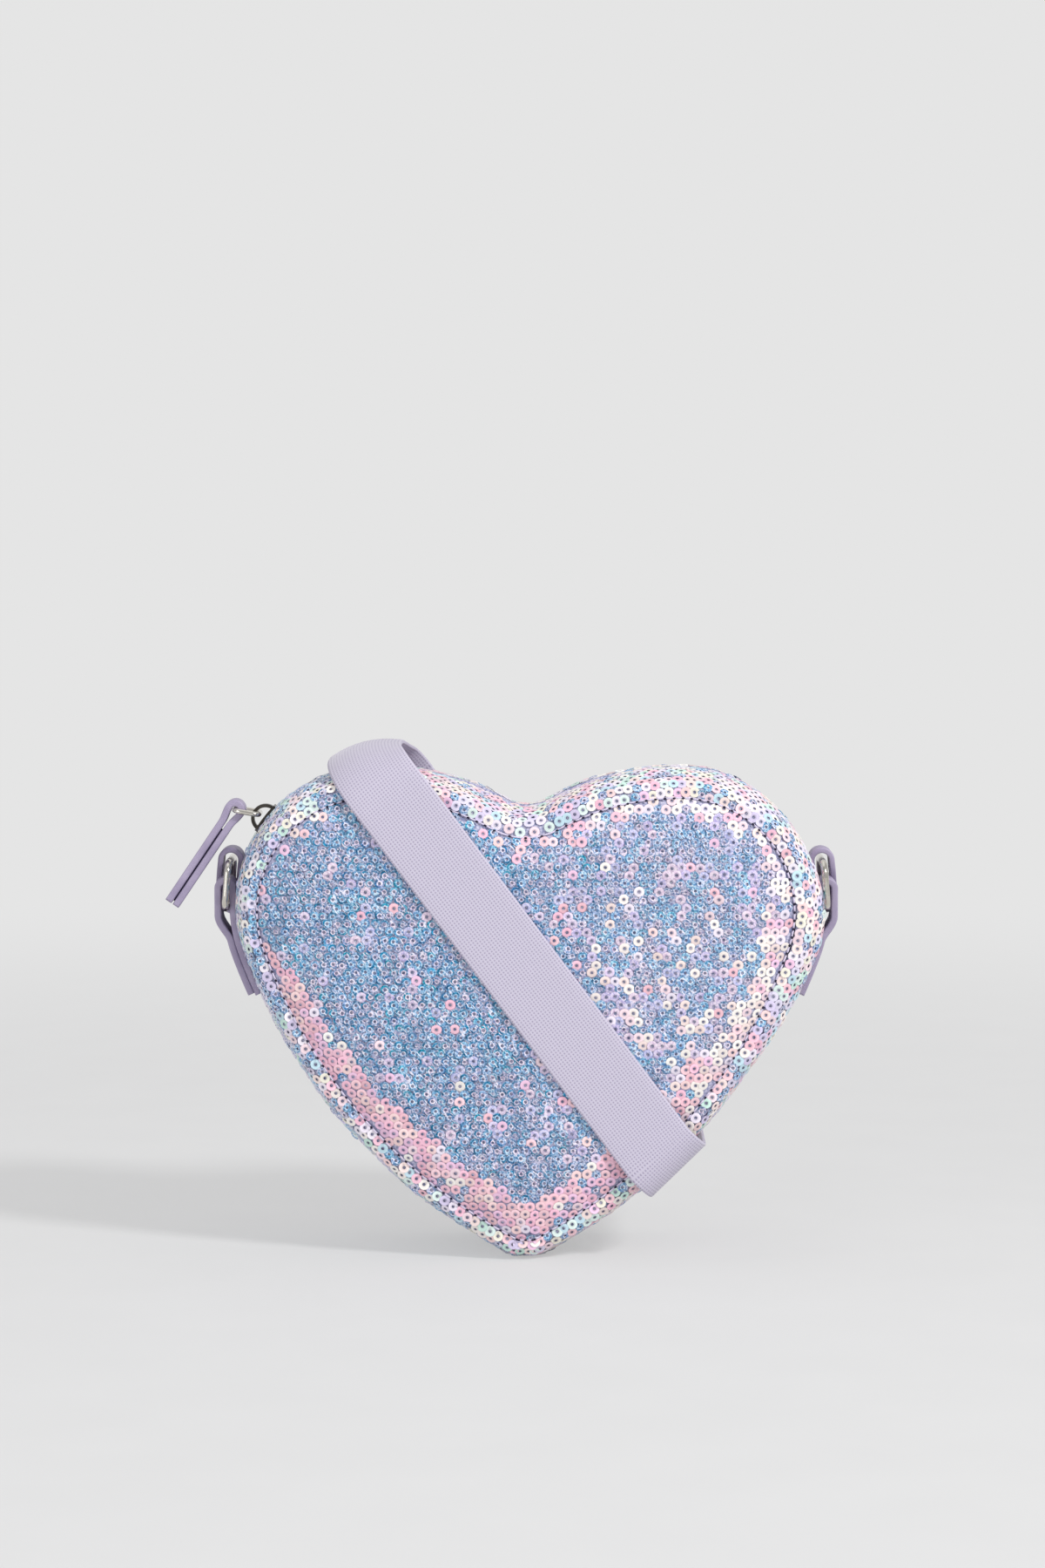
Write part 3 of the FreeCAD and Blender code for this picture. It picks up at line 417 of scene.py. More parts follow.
def strip_material():
    """Coated fabric of the tabs, puller and strap ends: satin lilac with cloudy shade and a faint grain."""
    material, tree, shader = new_material("satin lilac coated strip")
    place = add_node(tree, "ShaderNodeTexCoord", {})
    cloud = add_node(tree, "ShaderNodeTexNoise", {"Vector": place.outputs["Object"], "Scale": 1 / (6.0 * MM)})
    colour = add_node(tree, "ShaderNodeValToRGB", {"Fac": cloud.outputs["Fac"]}, stops=[
        (0.3, "988DA9"), (0.7, "AA9FB9")])
    grain = add_node(tree, "ShaderNodeTexNoise", {
        "Vector": place.outputs["Object"], "Scale": 1 / (0.35 * MM), "Detail": 3.0})
    bump = add_node(tree, "ShaderNodeBump", {
        "Height": grain.outputs["Fac"], "Strength": 0.12, "Distance": 0.08 * MM})
    connect(tree, shader, {
        "Base Color": colour.outputs["Color"], "Normal": bump.outputs["Normal"], "Roughness": 0.48})
    return material


def worn_material(name, dark, light, cell, rough, metal):
    """Two close shades in soft patches about cell millimetres across, with the polish varying alike."""
    material, tree, shader = new_material(name)
    place = add_node(tree, "ShaderNodeTexCoord", {})
    wear = add_node(tree, "ShaderNodeTexNoise", {
        "Vector": place.outputs["Object"], "Scale": 1 / (cell * MM), "Detail": 3.0})
    colour = add_node(tree, "ShaderNodeValToRGB", {"Fac": wear.outputs["Fac"]}, stops=[(0.35, dark), (0.65, light)])
    polish = add_node(tree, "ShaderNodeMapRange", {
        "Value": wear.outputs["Fac"], "To Min": 0.7 * rough, "To Max": 1.3 * rough})
    connect(tree, shader, {
        "Base Color": colour.outputs["Color"], "Roughness": polish.outputs["Result"], "Metallic": metal})
    return material


SEQUIN = sequin_material()
# Lilac power mesh under the sequins, with small darker openings
MESH = woven_material("lilac mesh fabric", 0.9, 0.2, 0.85, [(0.0, "DEDAEA"), (0.4, "BCBBD4"), (0.8, "848AAE")])
WEBBING = webbing_material()
STRIP = strip_material()
# Dull lilac tape beside the zip teeth
TAPE = woven_material("lilac zip tape", 0.5, 0.15, 0.8, [(0.2, "BDB0D8"), (0.8, "9486B8")])
# Bright wire of the rings and the pull loop, with a few duller handled spots
NICKEL = worn_material("polished nickel", "CFCAC0", "E0DCD4", 3.0, 0.16, 1.0)
# Near-black slider and stops that still mirror the room
GUNMETAL = worn_material("dark plated metal", "3F3C39", "55514C", 3.0, 0.28, 1.0)
# Satin plastic of the zip teeth
TEETH = worn_material("lilac moulded plastic", "B0A2CE", "C0B3DC", 2.0, 0.35, 0.0)
# Painted shade: a dark stand-in for the deep shade in the needle holes along the seams, and in the puller's slit
PAINTED_GAP_SHADE = worn_material("painted shade in holes and slits", "120F26", "241D40", 0.4, 0.8, 0.0)
# Pale twisted thread between the needle holes
THREAD = worn_material("pale seam thread", "C9BFDC", "E2DAEC", 0.5, 0.7, 0.0)

# Sequins

# Kinds of sequin: quiet blue rings; pink, pale, and mint and lilac glints, all painted highlights where the film
# catches the light; and soft discs that the knit shows through
QUIET, PINK_HIGHLIGHT, PALE_HIGHLIGHT, GLINT, SOFT = range(5)
FILM = {
    PINK_HIGHLIGHT: ["FACBDC", "F8C4D8", "FBD2DA", "F3CBE6", "FCDCDC", "F7C6D2"],
    PALE_HIGHLIGHT: ["FBF1EC", "F8E4E0", "F4DCE4", "FDF7F1", "EFE6F4"],
    GLINT: ["CDEBE0", "E0F1EC", "E3DDF2", "F3ECF6", "C6E2EE", "F4EFE0", "D9CFEC"],
    SOFT: ["D9C9E0", "CFC3E2", "E2CFDF", "C9C6E4"],
}
# Bright film is this much deeper at its edge and round its hole
EDGE_SHADE = 0.8
# Bright film lies flatter and is a little larger; every row leans a little over the one below
QUIET_LEAN, BRIGHT_LEAN, ROW_LEAN, BRIGHT_SIZE = 0.13, 0.06, 0.12, 1.06
QUIET_RIM = ["006E90", "047A9E", "0A6688", "0C82A6", "028EA4", "1C6894"]
QUIET_CORE = ["CCC6DA", "BEC6DC", "DACAD8", "B6CCE2"]
# Width of the border of painted highlights inside the seam, by height: left and right
LEFT_BORDER = ((6, 12, 30, 42, 54, 66, 78, 90, 98, 106),
               (13, 12, 13, 12, 9, 11, 8.5, 9.5, 4.5, 0))
RIGHT_BORDER = ((6, 12, 30, 48, 60, 78, 90, 114, 126, 138, 150),
                (13, 12, 11, 12, 12, 7.5, 7.5, 8.5, 6.5, 4, 3))
# Share of sequins painted as highlights left of the middle, and inside the right border by height
LEFT_GLINT = 0.025
RIGHT_GLINT = ((0, 40, 60, 75, 95, 112, 130, 150), (0.08, 0.1, 0.22, 0.24, 0.2, 0.14, 0.08, 0.06))


def pick(rng, names, count):
    """Random linear colours from a list of hex names."""
    table = np.array([linear(n) for n in names])
    return table[rng.integers(0, len(names), count)]


def add_sequins(name, centres, normals, along, kind, fade, rng):
    """Every sequin as a thin cupped ring: three circles of points about a small hole.

    Each is tipped a little at random, and its blue ring is heavier to one side, as painted shade that falls mostly
    the same way.
    """
    count = len(centres)
    quiet = kind == QUIET
    lean = rng.normal(0, 1.0, (count, 2)) * np.where(quiet, QUIET_LEAN, BRIGHT_LEAN)[:, None]
    side = unit(np.cross(normals, along))
    normals = unit(normals + lean[:, :1] * along + (lean[:, 1:] - ROW_LEAN) * side)
    along = unit(along - (along * normals).sum(-1, keepdims=True) * normals)
    side = np.cross(normals, along)
    segments = 12
    turn = np.arange(segments) / segments * 2 * math.pi
    radii = np.array([SEQUIN_HOLE, 0.55 * SEQUIN_R, SEQUIN_R])
    heights = np.array([0.0, 0.09, -0.02])
    size = rng.normal(1.0, 0.03, (count, 1, 1, 1)) * np.where(quiet, 1.0, BRIGHT_SIZE)[:, None, None, None]
    ring = radii[:, None, None] * np.stack([np.cos(turn), np.sin(turn)], -1)[None]
    local = (ring[None, ..., :1] * along[:, None, None, :] + ring[None, ..., 1:] * side[:, None, None, :]
             + heights[None, :, None, None] * normals[:, None, None, :])
    points = centres[:, None, None, :] + size * local
    points[..., 2] = np.maximum(points[..., 2], 0)
    points_each = len(radii) * segments
    quads = grid_faces(len(radii), segments, wrap_columns=True)[:, ::-1]
    faces = (quads[None] + (np.arange(count) * points_each)[:, None, None]).reshape(-1, 4)
    obj = add_object(name, points, [faces], SEQUIN)
    core = pick(rng, QUIET_CORE, count)
    rim = pick(rng, QUIET_RIM, count)
    rim = rim + (core - rim) * fade[:, None]
    # Pink, pale and glint kinds take flat painted highlight colours
    for index, names in FILM.items():
        here = kind == index
        bright = pick(rng, names, int(here.sum()))
        rim[here] = bright
        core[here] = bright * EDGE_SHADE
    shade = rng.normal(1.0, 0.06, (count, 1))
    rim[:, :3] = np.clip(rim[:, :3] * shade, 0, 1)
    knit_share = np.where(quiet, 1.0, np.where(kind == SOFT, 0.55, 0.0))
    # Painted shade: the quiet blue ring is deeper on one side, mostly the same side for every sequin
    painted_shade_side = rng.normal(2.6, 1.1, (count, 1))
    painted_shade_crescent = np.where(quiet[:, None], 0.7 + 0.3 * np.cos(turn[None] - painted_shade_side), 1.0)
    point_values(obj, "rim_colour", np.repeat(rim, points_each, 0), "FLOAT_COLOR")
    point_values(obj, "core_colour", np.repeat(core, points_each, 0), "FLOAT_COLOR")
    point_values(obj, "quiet", np.repeat(knit_share, points_each))
    point_values(obj, "painted_shade_crescent", np.repeat(painted_shade_crescent[:, None, :], len(radii), 1))
    point_values(obj, "radial", np.tile(np.repeat(radii / SEQUIN_R, segments), count))
    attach(obj, "bag")


def patches(x, z, size, shift):
    """Smooth uneven field between -1 and 1, with patches about that size in millimetres."""
    a = np.sin(x * 2 * math.pi / size + shift + 1.3 * np.sin(z / size * 4.1 + shift))
    b = np.sin(z * 2 * math.pi / size * 1.17 + 2.1 * shift + 1.1 * np.sin(x / size * 3.3))
    return a * b


def panel_kinds(x, z, inside, rng):
    """Which panel sequins are painted as highlights where they catch the light: the borders below and to the right,
    and glints to the right.
    """
    ragged = 1.8 * patches(x, z, 21.0, 2.0)
    cluster = 1 + 0.9 * patches(x, z, 17.0, 1.9)
    to_right = np.clip((x + 4) / 20, 0, 1)
    glint = LEFT_GLINT + (np.interp(z, *RIGHT_GLINT) - LEFT_GLINT) * to_right * cluster
    left = (x < 4) & (inside < np.interp(z, *LEFT_BORDER) + ragged)
    right = (x >= 4) & (inside < np.interp(z, *RIGHT_BORDER) + ragged)
    top = (z > 128) & (inside < 4.5 + ragged)
    chance = np.where(left, 0.97, np.where(right, 0.92, np.where(top, 0.5, glint)))
    lit = rng.random(len(x)) < chance
    pale = rng.random(len(x)) < np.where((x > 20) & (z > 40), 0.75, 0.1)
    soft = rng.random(len(x)) < 0.05 + 0.16 * to_right
    return np.where(lit, np.where(pale, PALE_HIGHLIGHT, PINK_HIGHLIGHT), np.where(soft, SOFT, QUIET))


def panel_sequins(name, sign, rng):
    """Sequins in staggered rows over a padded panel; sign is -1 for the front."""
    step = SEQUIN_PITCH
    rows = np.arange(0, TOP_Z / (step * ROW_SHARE)).astype(int)
    columns = np.arange(-40, 41)
    j, i = np.meshgrid(rows, columns, indexing="ij")
    x = ((i + 0.5 * (j % 2)) * step).ravel() + rng.normal(0, 0.16, i.size)
    z = (j * step * ROW_SHARE).ravel() + rng.normal(0, 0.16, i.size)
    inside = seam_distance(x, z)
    keep = inside > 0.9
    x, z, inside = x[keep], z[keep], inside[keep]
    nudge = 0.3
    depth = panel_depth(x, z)
    slope_x = (panel_depth(x + nudge, z) - depth) / nudge
    slope_z = (panel_depth(x, z + nudge) - depth) / nudge
    normals = unit(np.stack([-slope_x, sign * np.ones_like(x), -slope_z], -1))
    lift = SEQUIN_LIFT + rng.normal(0, SEQUIN_LIFT_SPREAD, (len(x), 1))
    centres = np.stack([x, sign * depth, z], -1) + normals * lift
    along = np.tile([1.0, 0.0, 0.0], (len(x), 1))
    kind = panel_kinds(x, z, inside, rng)
    fade = np.clip(0.1 + 0.3 * np.clip((x + 5) / 40, 0, 1) + rng.normal(0, 0.1, len(x)), 0, 1)
    add_sequins(name, centres, normals, along, kind, fade, rng)


def band_sequins(name, start, stop, first_share, last_share, rng):
    """Sequins in staggered rows along the side band between two distances and two shares."""
    total = float(band_profile(np.array(0.0))[2])
    step = SEQUIN_PITCH
    rows = int((last_share - first_share) * total / (step * ROW_SHARE))
    columns = int((stop - start) / step)
    j, i = np.meshgrid(np.arange(rows), np.arange(columns), indexing="ij")
    share = first_share + (last_share - first_share) * (j.ravel() + 0.5) / rows
    distance = start + (stop - start) * (i.ravel() + 0.25 + 0.5 * (j.ravel() % 2)) / columns
    distance = distance + rng.normal(0, 0.2, distance.shape)
    share = share + rng.normal(0, 0.2, share.shape) / total
    nudge = 0.4
    point = band_point(distance, share)
    along = unit(band_point(distance + nudge, share) - point)
    across = unit(band_point(distance, share + nudge / total) - point)
    normals = unit(np.cross(across, along))
    outward = heart(distance)[1]
    outside = np.stack([outward[:, 0], -np.cos(share * math.pi), outward[:, 1]], -1)
    normals = normals * np.sign((normals * outside).sum(-1, keepdims=True))
    centres = point + normals * (SEQUIN_LIFT + rng.normal(0, SEQUIN_LIFT_SPREAD, (len(share), 1)))
    lit = rng.random(len(share))
    from_seam = np.minimum(share, 1 - share) * total
    # Painted shade on the lower left of the band away from the seam: few sequins get painted highlights and the
    # rings are dulled towards their pale middles; the far left gets fewer highlights too
    shaded = (point[:, 0] < 0) & (point[:, 2] < 100) & (from_seam > 4.5)
    far_left = (point[:, 0] < -55) & (point[:, 2] >= 60)
    quiet_share = np.where(shaded, 0.75, np.where(far_left, 0.5, 0.16))
    bright = np.where(lit < 0.36, PINK_HIGHLIGHT, np.where(lit < 0.66, PALE_HIGHLIGHT, GLINT))
    kind = np.where(lit < quiet_share, QUIET, bright)
    add_sequins(name, centres, normals, along, kind, np.where(shaded, 0.75, 0.3), rng)


# Fabric skins


def panel_skin(name, sign, nodes):
    """The mesh fabric of a panel: rings of the seam line drawn in towards its middle point."""
    rounds, rings, past_seam = 420, 60, 0.3
    point, normal = heart(np.linspace(0, LOOP, rounds, endpoint=False))
    seam = point - (SEAM_INSET - past_seam) * normal
    middle = np.array([[0.0, 0.55 * TOP_Z]])
    share = (np.linspace(0, 0.99, rings) ** 1.6)[:, None, None]
    flat = (middle + (seam[None] - middle) * (1 - share)).reshape(-1, 2)
    flat = np.concatenate([flat, middle])
    points = np.stack([flat[:, 0], sign * panel_depth(flat[:, 0], flat[:, 1]), flat[:, 1]], -1)
    last = (rings - 1) * rounds + np.arange(rounds)
    fan = np.stack([last, np.roll(last, -1), np.full(rounds, rings * rounds)], -1)
    face_sets = [grid_faces(rings, rounds, wrap_columns=True), fan]
    if sign < 0:
        face_sets = [faces[:, ::-1] for faces in face_sets]
    obj = add_object(name, points, face_sets, MESH)
    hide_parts(*nodes)
    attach(obj, "bag")


def band_skin(name, start, stop, first_share, last_share, nodes, hem):
    """The mesh fabric of the side band between two distances and two shares across it.

    A hem is turned in at the ends of the piece or along one side, so that the fabric's edge isn't open to the zip.
    """
    rows, columns = 300, 40
    distance, share = np.meshgrid(
        np.linspace(start, stop, rows), np.linspace(first_share, last_share, columns), indexing="ij")
    points = band_point(distance, share)
    normal = heart(distance)[1]
    turned = points - HEM * np.stack([normal[..., 0], np.zeros_like(share), normal[..., 1]], -1)
    if hem == "ends":
        points = np.concatenate([turned[:1], points, turned[-1:]], 0)
    elif hem == "first side":
        points = np.concatenate([turned[:, :1], points], 1)
    else:
        points = np.concatenate([points, turned[:, -1:]], 1)
    obj = add_object(name, points, [grid_faces(*points.shape[:2])[:, ::-1]], MESH)
    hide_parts(*nodes)
    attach(obj, "bag")


def zip_tape(name, sign, node):
    """A woven tape strip from the teeth out under the band; past the teeth it reaches the middle."""
    rows, columns = 300, 8
    distance, share = np.meshgrid(
        np.linspace(-ZIP_REACH, ZIP_REACH, rows), np.linspace(0, 1, columns), indexing="ij")
    inner = np.interp(ZIP_REACH - np.abs(distance), (TAPE_CLOSED, TAPE_CLOSED + 1), (0.0, TAPE_INNER))
    depth = inner + (TAPE_OUTER - inner) * share
    point, normal = heart(distance)
    offset = -CROWN_R + np.sqrt((CROWN_R - TAPE_SINK) ** 2 - depth ** 2)
    flat = point + offset[..., None] * normal
    points = np.stack([flat[..., 0], sign * depth, flat[..., 1]], -1)
    faces = grid_faces(rows, columns)
    obj = add_object(name, points, [faces if sign < 0 else faces[:, ::-1]], TAPE)
    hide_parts(node)
    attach(obj, "bag")


def seam_hole_shade(name, sign):
    """Small dark knots of painted shade for the needle holes where the thread is drawn in, all round a seam: a ring
    of points between two poles.
    """
    count, segments = int(LOOP / STITCH_PITCH), 8
    inset, stand, oval, plump = 0.15, 0.75, 0.7, 0.55
    point, normal = heart(np.arange(count) * LOOP / count)
    flat = point - (SEAM_INSET + inset) * normal
    turn = np.arange(segments) / segments * 2 * math.pi
    ring = np.stack([np.cos(turn), np.zeros(segments), oval * np.sin(turn)], -1)
    local = STITCH_SIZE * np.concatenate([ring, [[0, -plump, 0], [0, plump, 0]]])
    tangent = np.stack([normal[:, 1], -normal[:, 0]], -1)
    spread = local[None, :, :1] * tangent[:, None] + local[None, :, 2:] * normal[:, None]
    depth = np.broadcast_to(sign * (SEAM_Y + stand) + local[:, 1], spread.shape[:2])
    points = np.stack([flat[:, None, 0] + spread[..., 0], depth, flat[:, None, 1] + spread[..., 1]], -1)
    i = np.arange(segments)
    j = (i + 1) % segments
    cap = np.concatenate([np.stack([j, np.full(segments, segments), i], -1),
                          np.stack([i, np.full(segments, segments + 1), j], -1)])
    faces = (cap[None] + (np.arange(count) * (segments + 2))[:, None, None]).reshape(-1, 3)
    obj = add_object(name, points, [faces], PAINTED_GAP_SHADE)
    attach(obj, "bag")


def seam_thread(name, sign):
    """The pale thread between the stitch holes: a thin closed tube that dips into every hole."""
    per_stitch, sides = 8, 6
    inset, sink, arch = 0.1, 0.2, 0.45
    count = per_stitch * int(LOOP / STITCH_PITCH)
    distance = np.arange(count) * LOOP / count
    point, normal = heart(distance)
    turn = np.arange(sides)[None] / sides * 2 * math.pi
    dip = arch * np.abs(np.sin(np.arange(count) * math.pi / per_stitch))[:, None]
    out = THREAD_R * np.cos(turn) - SEAM_INSET - inset
    flat = point[:, None] + out[..., None] * normal[:, None]
    depth = SEAM_Y - sink + dip + THREAD_R * np.sin(turn)
    points = np.stack([flat[..., 0], sign * depth, flat[..., 1]], -1)
    faces = grid_faces(count, sides, True, True)
    obj = add_object(name, points, [faces if sign < 0 else faces[:, ::-1]], THREAD)
    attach(obj, "bag")


# Bands and strips

STRAIGHT_BACK = np.array([0.0, 1.0, 0.0])


def rounded_section(width, thickness, crown, edge):
    """Rectangle with its edges rounded by a share of its thickness, as (across, up) pairs, bowed by the crown."""
    radius = thickness * edge
    turn = np.radians(np.arange(0, 91, 22.5))
    flat = np.linspace(1, -1, 9)[1:-1]
    reach, rise = width / 2 - radius, thickness / 2 - radius
    sides = []
    for cx, cy, start in ((1, 1, 0.0), (-1, 1, 90.0), (-1, -1, 180.0), (1, -1, 270.0)):
        angle = turn + math.radians(start)
        sides.append(np.stack([cx * reach + radius * np.cos(angle), cy * rise + radius * np.sin(angle)], -1))
        if cx == cy:
            sides.append(np.stack([cx * reach * flat, np.full(len(flat), cy * thickness / 2)], -1))
    pairs = np.concatenate(sides)
    pairs[:, 1] += crown * (1 - (2 * pairs[:, 0] / width) ** 2)
    return pairs


def strip(name, path, across, widths, thicknesses, material, crowns=0.0, edge=0.25):
    """A flat band with rounded edges, swept along a path, with one width direction or one at each point."""
    path = np.asarray(path, float)
    tangent = unit(np.gradient(path, axis=0))
    across = np.asarray(across, float)
    across = unit(across - (across * tangent).sum(-1, keepdims=True) * tangent)
    up = np.cross(tangent, across)
    sizes = np.broadcast_arrays(widths, thicknesses, crowns, np.zeros(len(path)))[:3]
    rings = np.array([rounded_section(*size, edge) for size in zip(*sizes)])
    points = path[:, None] + rings[..., :1] * across[:, None] + rings[..., 1:] * up[:, None]
    count = rings.shape[1]
    run = np.concatenate([[0], np.cumsum(np.linalg.norm(np.diff(path, axis=0), axis=1))])
    i = np.arange(count)
    j = (i + 1) % count
    base = (len(path) - 1) * count
    middle = len(path) * count
    first = np.stack([i, j, np.full(count, middle)], -1)
    last = np.stack([base + j, base + i, np.full(count, middle + 1)], -1)
    face_sets = [grid_faces(len(path), count, wrap_columns=True), np.concatenate([first, last])[:, ::-1]]
    obj = add_object(name, np.vstack([points.reshape(-1, 3), path[:1], path[-1:]]), face_sets, material)
    u = np.concatenate([np.repeat(run, count), run[[0, -1]]])
    v = np.concatenate([rings[..., 0].ravel(), [0, 0]])
    surface_uv(obj, u, v)
    return obj


def ease(share):
    """Smooth step from 0 to 1 as the share goes from 0 to 1."""
    share = np.clip(share, 0, 1)
    return share * share * (3 - 2 * share)


def heading(degrees):
    """Direction in the purse's own plane, turned up from +X by an angle."""
    turn = np.radians(degrees)
    return np.stack([np.cos(turn), np.zeros_like(turn), np.sin(turn)], -1)


def bezier(points, share):
    """Points of a cubic curve through four control points."""
    t = share[:, None]
    return (points[0] * (1 - t) ** 3 + 3 * points[1] * (1 - t) ** 2 * t
            + 3 * points[2] * (1 - t) * t ** 2 + points[3] * t ** 3)


def back_run(start, start_angle, stop, stop_angle, count):
    """Stretch of strap flat on the back, from one heading to another, with its width direction."""
    first = np.array([start[0], STRAP_Y, start[1]])
    last = np.array([stop[0], STRAP_Y, stop[1]])
    handle = 48.0
    control = [first, first + handle * heading(start_angle), last - handle * heading(stop_angle), last]
    path = bezier(control, np.linspace(0, 1, count))
    step = unit(np.gradient(path, axis=0))
    return path, np.stack([-step[:, 2], np.zeros(count), step[:, 0]], -1)


def webbing_strap():
    """The strap from the right ring's end over the left lobe, across the front and back to the left's."""
    down = heading(-STRAP_TILT)
    front_turn, back_turn = 90.0 - STRAP_TILT, 90.0 + HUMP_BACK
    off_lobe = 0.9
    top = (np.array([-LOBE_X, 0, LOBE_Z]) + heading(HUMP_REST) * (LOBE_R + off_lobe + STRAP_T / 2)
           + heading((front_turn + back_turn) / 2) * (STRAP_W / 2))
    start = (top[2] - HUMP_HEIGHT - STRAP_CROSS[1]) / down[2]
    front = np.array([STRAP_CROSS[0], -STRAP_Y, STRAP_CROSS[1]]) + down * start
    # Up the back from the right lap
    path, across = back_run((LAP_X, LAP_Z), LAP_ANGLE, (front[0], front[2]), 180.0 + HUMP_BACK, 40)
    runs = [(path, -across)]
    # Over the left lobe, from back to front
    turn = math.pi * np.linspace(0, 1, 62)[1:-1]
    bow = np.sin(turn) ** HUMP_FULL
    x = front[0] + (top[0] - front[0]) * bow
    y = np.sign(np.cos(turn)) * np.abs(np.cos(turn)) ** HUMP_FULL * STRAP_Y
    z = front[2] + HUMP_HEIGHT * bow
    behind = (1 + np.cos(turn)) / 2
    level = 1 - np.sin(turn) ** 2 * HUMP_LEVEL
    runs.append((np.stack([x, y, z], -1), heading((front_turn * (1 - behind) + back_turn * behind) * level)))
    crown = [np.zeros(len(path)), HUMP_CROWN * np.sin(turn) ** 2]
    # Straight down the front to the side's arc
    rel = np.array(STRAP_CROSS) - SIDE_C
    flat = down[[0, 2]]
    reach = -(rel @ flat) + math.sqrt((rel @ flat) ** 2 - rel @ rel + SIDE_R ** 2)
    edge = np.array(STRAP_CROSS) + reach * flat
    normal = (edge - SIDE_C) / SIDE_R
    wrap = math.degrees(math.atan2(normal[1], normal[0]))
    radius, gap = 9.0, 1.3
    corner = edge - normal * (radius - gap)
    share = np.linspace(0, 1, 60)
    end = np.array([corner[0], -STRAP_Y, corner[1]])
    tilt = 90 - STRAP_TILT + (wrap + STRAP_TILT) * np.clip(2 * share - 1, 0, 1)
    runs.append((front + (end - front) * share[:, None], heading(tilt)))
    # Round the side, and up the back to the left lap
    turn = np.linspace(0, math.pi / 2, 14)[1:]
    out = np.concatenate([radius * np.sin(turn), radius * np.sin(turn[::-1])])
    deep = STRAP_Y - radius + radius * np.cos(turn)
    depth = np.concatenate([-deep, deep[::-1]])
    points = np.stack([corner[0] + out * normal[0], depth, corner[1] + out * normal[1]], -1)
    runs.append((points, np.tile(heading(wrap + 90.0), (len(points), 1))))
    path, across = back_run(tuple(corner), wrap + 180.0, (-LAP_X, LAP_Z), 360.0 - LAP_ANGLE, 40)
    runs.append((path[1:], -across[1:]))
    path = np.concatenate([r[0] for r in runs])
    across = np.concatenate([r[1] for r in runs])
    crown = np.concatenate(crown + [np.zeros(len(path) - sum(len(c) for c in crown))])
    obj = strip("webbing_strap", path, across, STRAP_W, STRAP_T, WEBBING, crown, 0.48)
    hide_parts("strap_webbing")
    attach(obj, "bag")


def puller_strip():
    """The puller: one strip down to the fold round the loop's far bar and back beside itself."""
    chain_top = LOBE_R - CHAIN_SINK - CHAIN_HALF_WIDTH ** 2 / (2 * CROWN_R) + CHAIN_T / 2
    bridge_top = chain_top + SLIDER_GAP + SLIDER_PLATE + BRIDGE_HEIGHT
    loop_reach = bridge_top - BRIDGE_BAND - LOOP_WIRE / 2 - SLIDER_GAP
    axis = np.array([-LOBE_X, 0, LOBE_Z]) + loop_reach * heading(SLIDER_ANGLE)
    centre = axis + LOOP_LENGTH * heading(LOOP_ANGLE)
    along = heading(236.0)
    side = np.array([-along[2], 0, along[0]])
    layer, gap, eye, length = 2.3, 0.5, 1.1, 37.0
    radius = eye + layer / 2
    turn = np.linspace(math.pi / 2, -math.pi / 2, 25)
    arc = np.stack([-radius * np.cos(turn), radius * np.sin(turn)], -1)
    near = (gap + layer) / 2
    reach = np.linspace(0, 1, 50)
    drawn_in = ease(reach * length / (2 * layer + eye))
    leg = np.stack([reach * length, radius + (near - radius) * drawn_in], -1)[1:]
    flat = np.concatenate([leg[::-1], arc, leg * [1, -1]])
    path = centre + flat[:, :1] * along + flat[:, 1:] * side
    obj = strip("puller_strip", path, STRAIGHT_BACK, 8.4, layer, STRIP)
    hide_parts("puller_tab")
    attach(obj, "puller")
    # Painted shade: a dark strip fills the slit between the puller's two layers along their sewn join
    sewn = centre + np.linspace(0.22, 0.97, 20)[:, None] * length * along
    join = strip("puller_slit_shade", sewn, STRAIGHT_BACK, 6.4, gap, PAINTED_GAP_SHADE)
    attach(join, "puller")


def side_line(offset, heights):
    """Points beside the right side of the outline at given heights, that far out along its normal."""
    split = LOBE_Z - (LOBE_R + offset) * math.sin(SIDE_ANGLE)
    high = LOBE_X + np.sqrt(np.maximum((LOBE_R + offset) ** 2 - (heights - LOBE_Z) ** 2, 0))
    low = SIDE_C[0] + np.sqrt(np.maximum((SIDE_R + offset) ** 2 - (heights - SIDE_C[1]) ** 2, 0))
    return np.where(heights >= split, high, low)


def ring_tab(name, mirror, node):
    """A ring tab: up beside the band, over the ring's lower bar and down outside itself."""
    bar_x, layer, eye, seat = 98.2, 2.2, 1.35, 0.15
    top, free, beside_below, low = 118.8, 109.8, 101.5, 84.0
    rise = np.linspace(low, LOBE_Z, 40)
    inner = np.stack([side_line(seat + layer / 2, rise), rise], -1)
    inner_x = bar_x - eye - layer / 2
    straight = np.stack([np.full(8, inner_x), np.linspace(LOBE_Z + 1.5, top - 0.2, 8)], -1)
    turn = np.linspace(math.pi, 0, 21)
    fold = np.stack([bar_x + (eye + layer / 2) * np.cos(turn), top + (eye + layer / 2) * np.sin(turn)], -1)
    outer_x = bar_x + eye + layer / 2
    fall = np.linspace(top, low, 60)[1:]
    beside = side_line(seat + 1.5 * layer, fall)
    clear = ease((fall - beside_below) / (free - beside_below))
    outer = np.stack([beside + (outer_x - beside) * clear, fall], -1)
    flat = np.concatenate([inner, straight, fold, outer])
    path = np.stack([mirror * flat[:, 0], np.zeros(len(flat)), flat[:, 1]], -1)
    obj = strip(name, path, STRAIGHT_BACK, 13.0, layer, STRIP)
    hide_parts(node)
    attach(obj, "bag")


